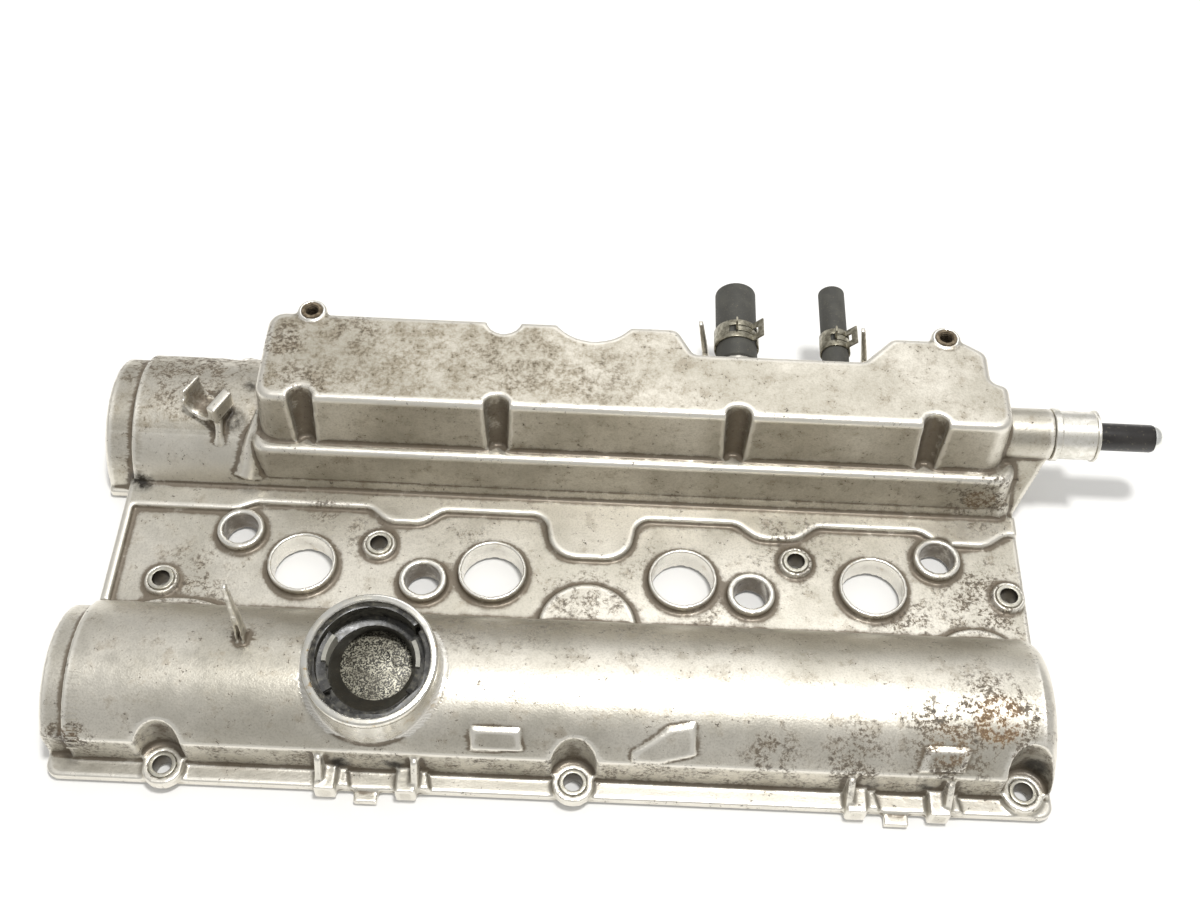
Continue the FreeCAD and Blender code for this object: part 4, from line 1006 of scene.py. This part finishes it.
def grown(name, base, tree, material, slot, nodes=(), **sizes):
    """The tree's result on a base mesh, as a plain mesh on the root body."""
    piece = linked(name, base)
    m = piece.modifiers.new("grow", "NODES")
    m.node_group = tree
    for item in tree.interface.items_tree:
        if item.in_out == "INPUT" and item.name in sizes:
            m[item.identifier] = sizes[item.name]
    settled(piece)
    if not piece.data.materials:
        piece.data.materials.append(material)
    return ride(piece, nodes)


print("tree helpers ready")

# %% [markdown]
# Eight short screws hold the separator sheet under the breather chamber. Each is a pan head with a
# hexagon socket, cut out by a boolean inside the tree, and the tree puts one at each place. The
# places come from the solids of the CAD node, so they follow the part if its size changes.

# %% Separator screws


def boxes_of(node):
    """Lowest and highest corner of each separate solid of a node, in millimetres."""
    data = welded(node)
    work = bmesh.new()
    work.from_mesh(data)
    left = set(work.verts)
    out = []
    while left:
        stack = [left.pop()]
        found = []
        while stack:
            v = stack.pop()
            found.append(v.co.copy())
            for e in v.link_edges:
                w = e.other_vert(v)
                if w in left:
                    left.remove(w)
                    stack.append(w)
        a = np.array(found) / MM
        out.append((a.min(axis=0), a.max(axis=0)))
    work.free()
    bpy.data.meshes.remove(data)
    return out


def cylinder(tree, vertices, radius, depth, lift=None):
    body = geo(tree, "MeshCylinder", {"Vertices": vertices, "Radius": radius, "Depth": depth})
    if lift is None:
        return body
    move = add(tree, "ShaderNodeCombineXYZ", {"Z": lift}).outputs[0]
    return geo(tree, "Transform", {"Geometry": body, "Translation": move})


def screw_tree(material):
    tree, sizes = grow_tree("pan_head_screw", {"Head Radius": 0.0038, "Head Height": 0.0024,
                                               "Shank Radius": 0.002, "Length": 0.0068})
    height = sizes["Head Height"]
    head = cylinder(tree, 40, sizes["Head Radius"], height, times(tree, height, 0.5))
    socket = cylinder(tree, 6, times(tree, sizes["Head Radius"], 0.52), height)
    pan = geo(tree, "MeshBoolean", {0: head, 1: socket}, operation="DIFFERENCE")
    half_length = times(tree, sizes["Length"], 0.5)
    shank = cylinder(tree, 24, sizes["Shank Radius"], half_length, times(tree, half_length, 1.45))
    both = add(tree, "GeometryNodeJoinGeometry")
    tree.links.new(pan, both.inputs[0])
    tree.links.new(shank, both.inputs[0])
    return on_points(tree, sizes, both.outputs[0], material)


zinc = finish["zinc_plated_steel"]
screw_places = [((a[0] + b[0]) / 2, (a[1] + b[1]) / 2, a[2])
                for a, b in boxes_of("separator_baffle_screws")]
screws = grown("separator_screws", points_mesh("screw_places", screw_places), screw_tree(zinc),
               zinc, "zinc_steel", ["separator_baffle_screws"])
print("screws:", len(screw_places), "faces:", len(screws.data.polygons))

# %% [markdown]
# Ten steel bushings keep the bolts from crushing the flange and its gasket. All are the same ring,
# a circle that carries a rectangle with rounded corners, and one tree grows them. Its inputs give
# each row its own length. Faces that look at the ring's axis are marked, and the finish darkens
# them as painted shade.

# %% Bushings in the bolt holes


def bushing_tree(material):
    tree, sizes = grow_tree("flange_bushing", {"Middle Radius": 0.005125, "Wall": 0.0019,
                                               "Length": 0.0092, "Corner": 0.0003})
    path = geo(tree, "CurvePrimitiveCircle", {"Resolution": 56, "Radius": sizes["Middle Radius"]})
    section = geo(tree, "CurvePrimitiveQuadrilateral", {"Width": sizes["Wall"],
                                                        "Height": sizes["Length"]})
    section = geo(tree, "FilletCurve", {"Curve": section, "Radius": sizes["Corner"], "Count": 3},
                  mode="POLY")
    ring = geo(tree, "CurveToMesh", {"Curve": path, "Profile Curve": section})
    ring = geo(tree, "SetShadeSmooth", {0: ring})
    outward_by = add(tree, "ShaderNodeVectorMath", {0: geo(tree, "InputNormal"),
                                                    1: geo(tree, "InputPosition")},
                     operation="DOT_PRODUCT").outputs["Value"]
    # faces that look at the axis are marked for the painted shade of the bore
    inside = add(tree, "FunctionNodeCompare", {0: outward_by, 1: -0.003}, data_type="FLOAT",
                 operation="LESS_THAN")
    ring = geo(tree, "StoreNamedAttribute", {"Geometry": ring, "Name": "bore",
                                             "Value": inside.outputs[0]},
               data_type="FLOAT", domain="FACE")
    return on_points(tree, sizes, ring, material)


bushing = bushing_tree(finish["zinc_bushing_painted_bore_shade"])
for node, name in (("front_flange_sleeves", "front_bushings"),
                   ("rear_flange_sleeves", "rear_bushings"),
                   ("valley_sleeves", "valley_bushings")):
    boxes = boxes_of(node)
    spots = [tuple((a + b) / 2) for a, b in boxes]
    tall = float(boxes[0][1][2] - boxes[0][0][2])
    grown(name, points_mesh(name + "_places", spots), bushing, finish["zinc_bushing_painted_bore_shade"],
          "zinc_steel", [node], Length=tall * MM)
    print(name, len(spots), "of", round(tall, 2), "mm")

# %% [markdown]
# The ears' inserts are threaded for M8 screws. The thread is a spiral with a three-sided section:
# the tree draws it once and puts it into each insert.

# %% Threads of the inserts


def thread_tree(material):
    tree, sizes = grow_tree("insert_thread", {"Radius": 0.0034, "Pitch": 0.00125, "Turns": 9.0,
                                              "Ridge": 0.00045})
    spiral = geo(tree, "CurveSpiral", {"Resolution": 32, "Rotations": sizes["Turns"],
                                       "Start Radius": sizes["Radius"],
                                       "End Radius": sizes["Radius"],
                                       "Height": times(tree, sizes["Pitch"], sizes["Turns"])})
    section = geo(tree, "CurvePrimitiveCircle", {"Resolution": 3, "Radius": sizes["Ridge"]})
    ridge = geo(tree, "CurveToMesh", {"Curve": spiral, "Profile Curve": section,
                                      "Fill Caps": True})
    return on_points(tree, sizes, ridge, material)


THREAD_DEPTH = 12.2
rust = finish["rusted_steel_insert"]
insert_places = [((a[0] + b[0]) / 2, (a[1] + b[1]) / 2, b[2] - THREAD_DEPTH)
                 for a, b in boxes_of("ear_inserts")]
threads = grown("insert_threads", points_mesh("insert_places", insert_places), thread_tree(rust),
                rust, "rusty_insert")
print("threads:", len(insert_places), "faces:", len(threads.data.polygons))

# %% [markdown]
# The die leaves a row of short ridges on the front hump, beside the step at its left end. They sit
# on a circle round the hump's axis, so each is turned to stand on the surface there.

# %% Die ridges beside the end band
HUMP_AXIS_Y, HUMP_RADIUS = HUMPS[0][:2]
RIDGE_X = -219.5


def ridge_tree(material):
    tree, sizes = grow_tree("die_ridge", {"Length": 0.005, "Width": 0.0006, "Height": 0.0005})
    size = add(tree, "ShaderNodeCombineXYZ", {"X": sizes["Length"], "Y": sizes["Width"],
                                              "Z": sizes["Height"]}).outputs[0]
    turn = add(tree, "GeometryNodeInputNamedAttribute", {"Name": "turn"},
               data_type="FLOAT_VECTOR").outputs["Attribute"]
    turn = add(tree, "FunctionNodeEulerToRotation", {0: turn}).outputs[0]
    return on_points(tree, sizes, geo(tree, "MeshCube", {"Size": size}), material, Rotation=turn)


ridge_angles = [math.radians(a) for a in np.arange(14.0, 62.0, 3.6)]
ridge_base = points_mesh("ridge_places", [
    (RIDGE_X, HUMP_AXIS_Y - HUMP_RADIUS * math.sin(a), HUMP_RADIUS * math.cos(a))
    for a in ridge_angles])
turns = np.array([(a, 0, 0) for a in ridge_angles], np.float32)
ridge_base.attributes.new("turn", "FLOAT_VECTOR", "POINT").data.foreach_set("vector", turns.ravel())
grown("die_ridges", ridge_base, ridge_tree(cast_finish), cast_finish, "cast_aluminium")
print("ridges:", len(ridge_angles))

# %% [markdown]
# The flange's gasket is a moulded rubber cord with two sealing beads along its face. The face's two
# border lines are read from the solid, moved inward, and the tree sweeps a round bead along each.
# The face itself is set back by the height of the beads, so the gasket keeps its real depth.

# %% Gasket with its two beads
BEAD_RADIUS, BEAD_INSET, BEAD_STEP = 0.45, 0.95, 2.0


def border_loops(data, height):
    """Closed lines of points where the face at this height meets the side walls."""
    work = bmesh.new()
    work.from_mesh(data)
    bmesh.ops.dissolve_limit(work, angle_limit=0.02, verts=work.verts, edges=work.edges)
    flat = {f for f in work.faces
            if abs(f.normal.z) > 0.9 and abs(f.calc_center_median().z - height) < 1e-5}
    rim = [e for e in work.edges if sum(f in flat for f in e.link_faces) == 1]
    follow = {}
    for e in rim:
        for a, b in ((e.verts[0], e.verts[1]), (e.verts[1], e.verts[0])):
            follow.setdefault(a.index, []).append(b.index)
    spot = {v.index: v.co.copy() for v in work.verts}
    work.free()
    loops = []
    while follow:
        first = next(iter(follow))
        loop = [first]
        last, here = None, first
        while True:
            onward = [n for n in follow[here] if n != last]
            last, here = here, onward[0]
            if here == first:
                break
            loop.append(here)
        for i in loop:
            follow.pop(i)
        loops.append([spot[i] for i in loop])
    return loops


def bead_tree(material):
    tree, sizes = grow_tree("gasket_bead", {"Bead Radius": BEAD_RADIUS * MM, "Step": 0.0018})
    line = geo(tree, "MeshToCurve", {"Mesh": sizes["Geometry"]})
    line = geo(tree, "ResampleCurve", {"Curve": line, "Length": sizes["Step"]}, mode="LENGTH")
    section = geo(tree, "CurvePrimitiveCircle", {"Resolution": 8, "Radius": sizes["Bead Radius"]})
    bead = geo(tree, "CurveToMesh", {"Curve": line, "Profile Curve": section})
    return end_tree(tree, geo(tree, "SetShadeSmooth", {0: bead}), material)


gasket_data = welded("perimeter_gasket")
face_z = min(v.co.z for v in gasket_data.vertices)
loops = border_loops(gasket_data, face_z)
outer_loop = max(loops, key=lambda loop: max(p.x for p in loop))
bead_points, bead_edges = [], []
for loop in loops:
    dense = []
    for i, p in enumerate(loop):
        q = loop[(i + 1) % len(loop)]
        count = max(1, int((q - p).length / (BEAD_STEP * MM)))
        dense += [p.lerp(q, t / count) for t in range(count)]
    n = len(dense)
    area = sum(p.x * q.y - q.x * p.y for p, q in zip(dense, dense[1:] + dense[:1]))
    turn = (1 if area > 0 else -1) * (1 if loop is outer_loop else -1)
    start = len(bead_points)
    for i, p in enumerate(dense):
        along = (dense[(i + 1) % n] - dense[i - 1]).normalized()
        spot = p + Vector((-along.y, along.x, 0)) * turn * BEAD_INSET * MM
        bead_points.append((spot.x, spot.y, face_z + BEAD_RADIUS * MM))
        bead_edges.append((start + i, start + (i + 1) % n))
bead_lines = bpy.data.meshes.new("bead_lines")
bead_lines.from_pydata(bead_points, bead_edges, [])
beads = grown("gasket_beads", bead_lines, bead_tree(finish[SEAL]), finish[SEAL], "seal_rubber")
for v in gasket_data.vertices:
    if v.co.z < face_z + 1e-6:
        v.co.z = face_z + BEAD_RADIUS * MM
riding("flange_gasket", gasket_data, SEAL, ["perimeter_gasket"])
print("border lines:", len(loops), "bead faces:", len(beads.data.polygons))

# %% [markdown]
# The part was photographed on a white ground. The floor is a real surface that takes the part's
# shadow. What the camera sees of it is lifted a little near the part, and more far away where the
# lamps fade, so it is white up to the horizon. What shines in metal is lifted too, while the light
# on the part stays at a plain level.

# %% Floor
FLOOR_Z, FLOOR_HALF = cad_box[0][2] - 0.05 * MM, 6.0
NEAR_LIFT, FAR_LIFT, SHINE_LIFT = 0.06, 0.62, 0.3


def studio_floor():
    data = bpy.data.meshes.new("studio_floor")
    corners = [(FLOOR_HALF * i, FLOOR_HALF * j, FLOOR_Z)
               for i, j in ((-1, -1), (1, -1), (1, 1), (-1, 1))]
    data.from_pydata(corners, [], [(0, 1, 2, 3)])
    material = bpy.data.materials.new("white_paper_floor")
    tree = fresh_tree(material)
    output = add(tree, "ShaderNodeOutputMaterial")
    paper = add(tree, "ShaderNodeBsdfDiffuse", {"Color": linear("e8e7e4")})
    ray = add(tree, "ShaderNodeLightPath").outputs
    place = add(tree, "ShaderNodeTexCoord").outputs["Object"]
    away = add(tree, "ShaderNodeVectorMath", {0: place}, operation="LENGTH").outputs["Value"]
    seen = times(tree, ray["Is Camera Ray"], ramp(tree, away, 0.42, 1.1, NEAR_LIFT, FAR_LIFT))
    shine = sums(tree, "MAXIMUM", ray["Is Glossy Ray"], ray["Is Transmission Ray"])
    lift = sums(tree, "ADD", seen, times(tree, shine, SHINE_LIFT))
    lift = add(tree, "ShaderNodeEmission", {"Color": (1, 1, 1, 1), "Strength": lift})
    both = add(tree, "ShaderNodeAddShader", {0: paper.outputs[0], 1: lift.outputs[0]})
    tree.links.new(both.outputs[0], output.inputs["Surface"])
    data.materials.append(material)
    linked("studio_floor", data)


studio_floor()
print("floor at", round(FLOOR_Z * 1000, 2), "mm")

# %% [markdown]
# One lamp hangs over the side outlet, small enough for the crisp shadows of the photograph, and a
# wide weak one lights the rear. The sky is a soft grey for the part and pure white for the camera.

# %% Lamps and sky


def soft_lamp(name, place, width, power):
    """A round lamp that looks at the part's origin."""
    data = bpy.data.lights.new(name, "AREA")
    data.shape = "DISK"
    data.size = width
    data.energy = power
    lamp = linked(name, data)
    lamp.location = place
    lamp.rotation_euler = Vector(place).to_track_quat("Z", "Y").to_euler()


def sky(level):
    world = bpy.data.worlds.new("studio_sky")
    bpy.context.scene.world = world
    tree = fresh_tree(world)
    ray = add(tree, "ShaderNodeLightPath").outputs
    strength = add(tree, "ShaderNodeMix", {0: ray["Is Camera Ray"], 2: level, 3: 1.0},
                   data_type="FLOAT").outputs[0]
    back = add(tree, "ShaderNodeBackground", {"Color": (1, 1, 1, 1), "Strength": strength})
    output = add(tree, "ShaderNodeOutputWorld")
    tree.links.new(back.outputs[0], output.inputs["Surface"])


sky(0.6)
soft_lamp("ceiling_lamp", (0.22, -0.06, 2.0), 0.26, 28.0)
soft_lamp("rear_panel", (0.2, 1.3, 1.7), 1.5, 7.6)
bpy.context.scene.view_settings.view_transform = "Standard"
print("lamps set")

# %% [markdown]
# Last, the solids' box is printed.

# %% The solids' box
print("cad box", cad_box)
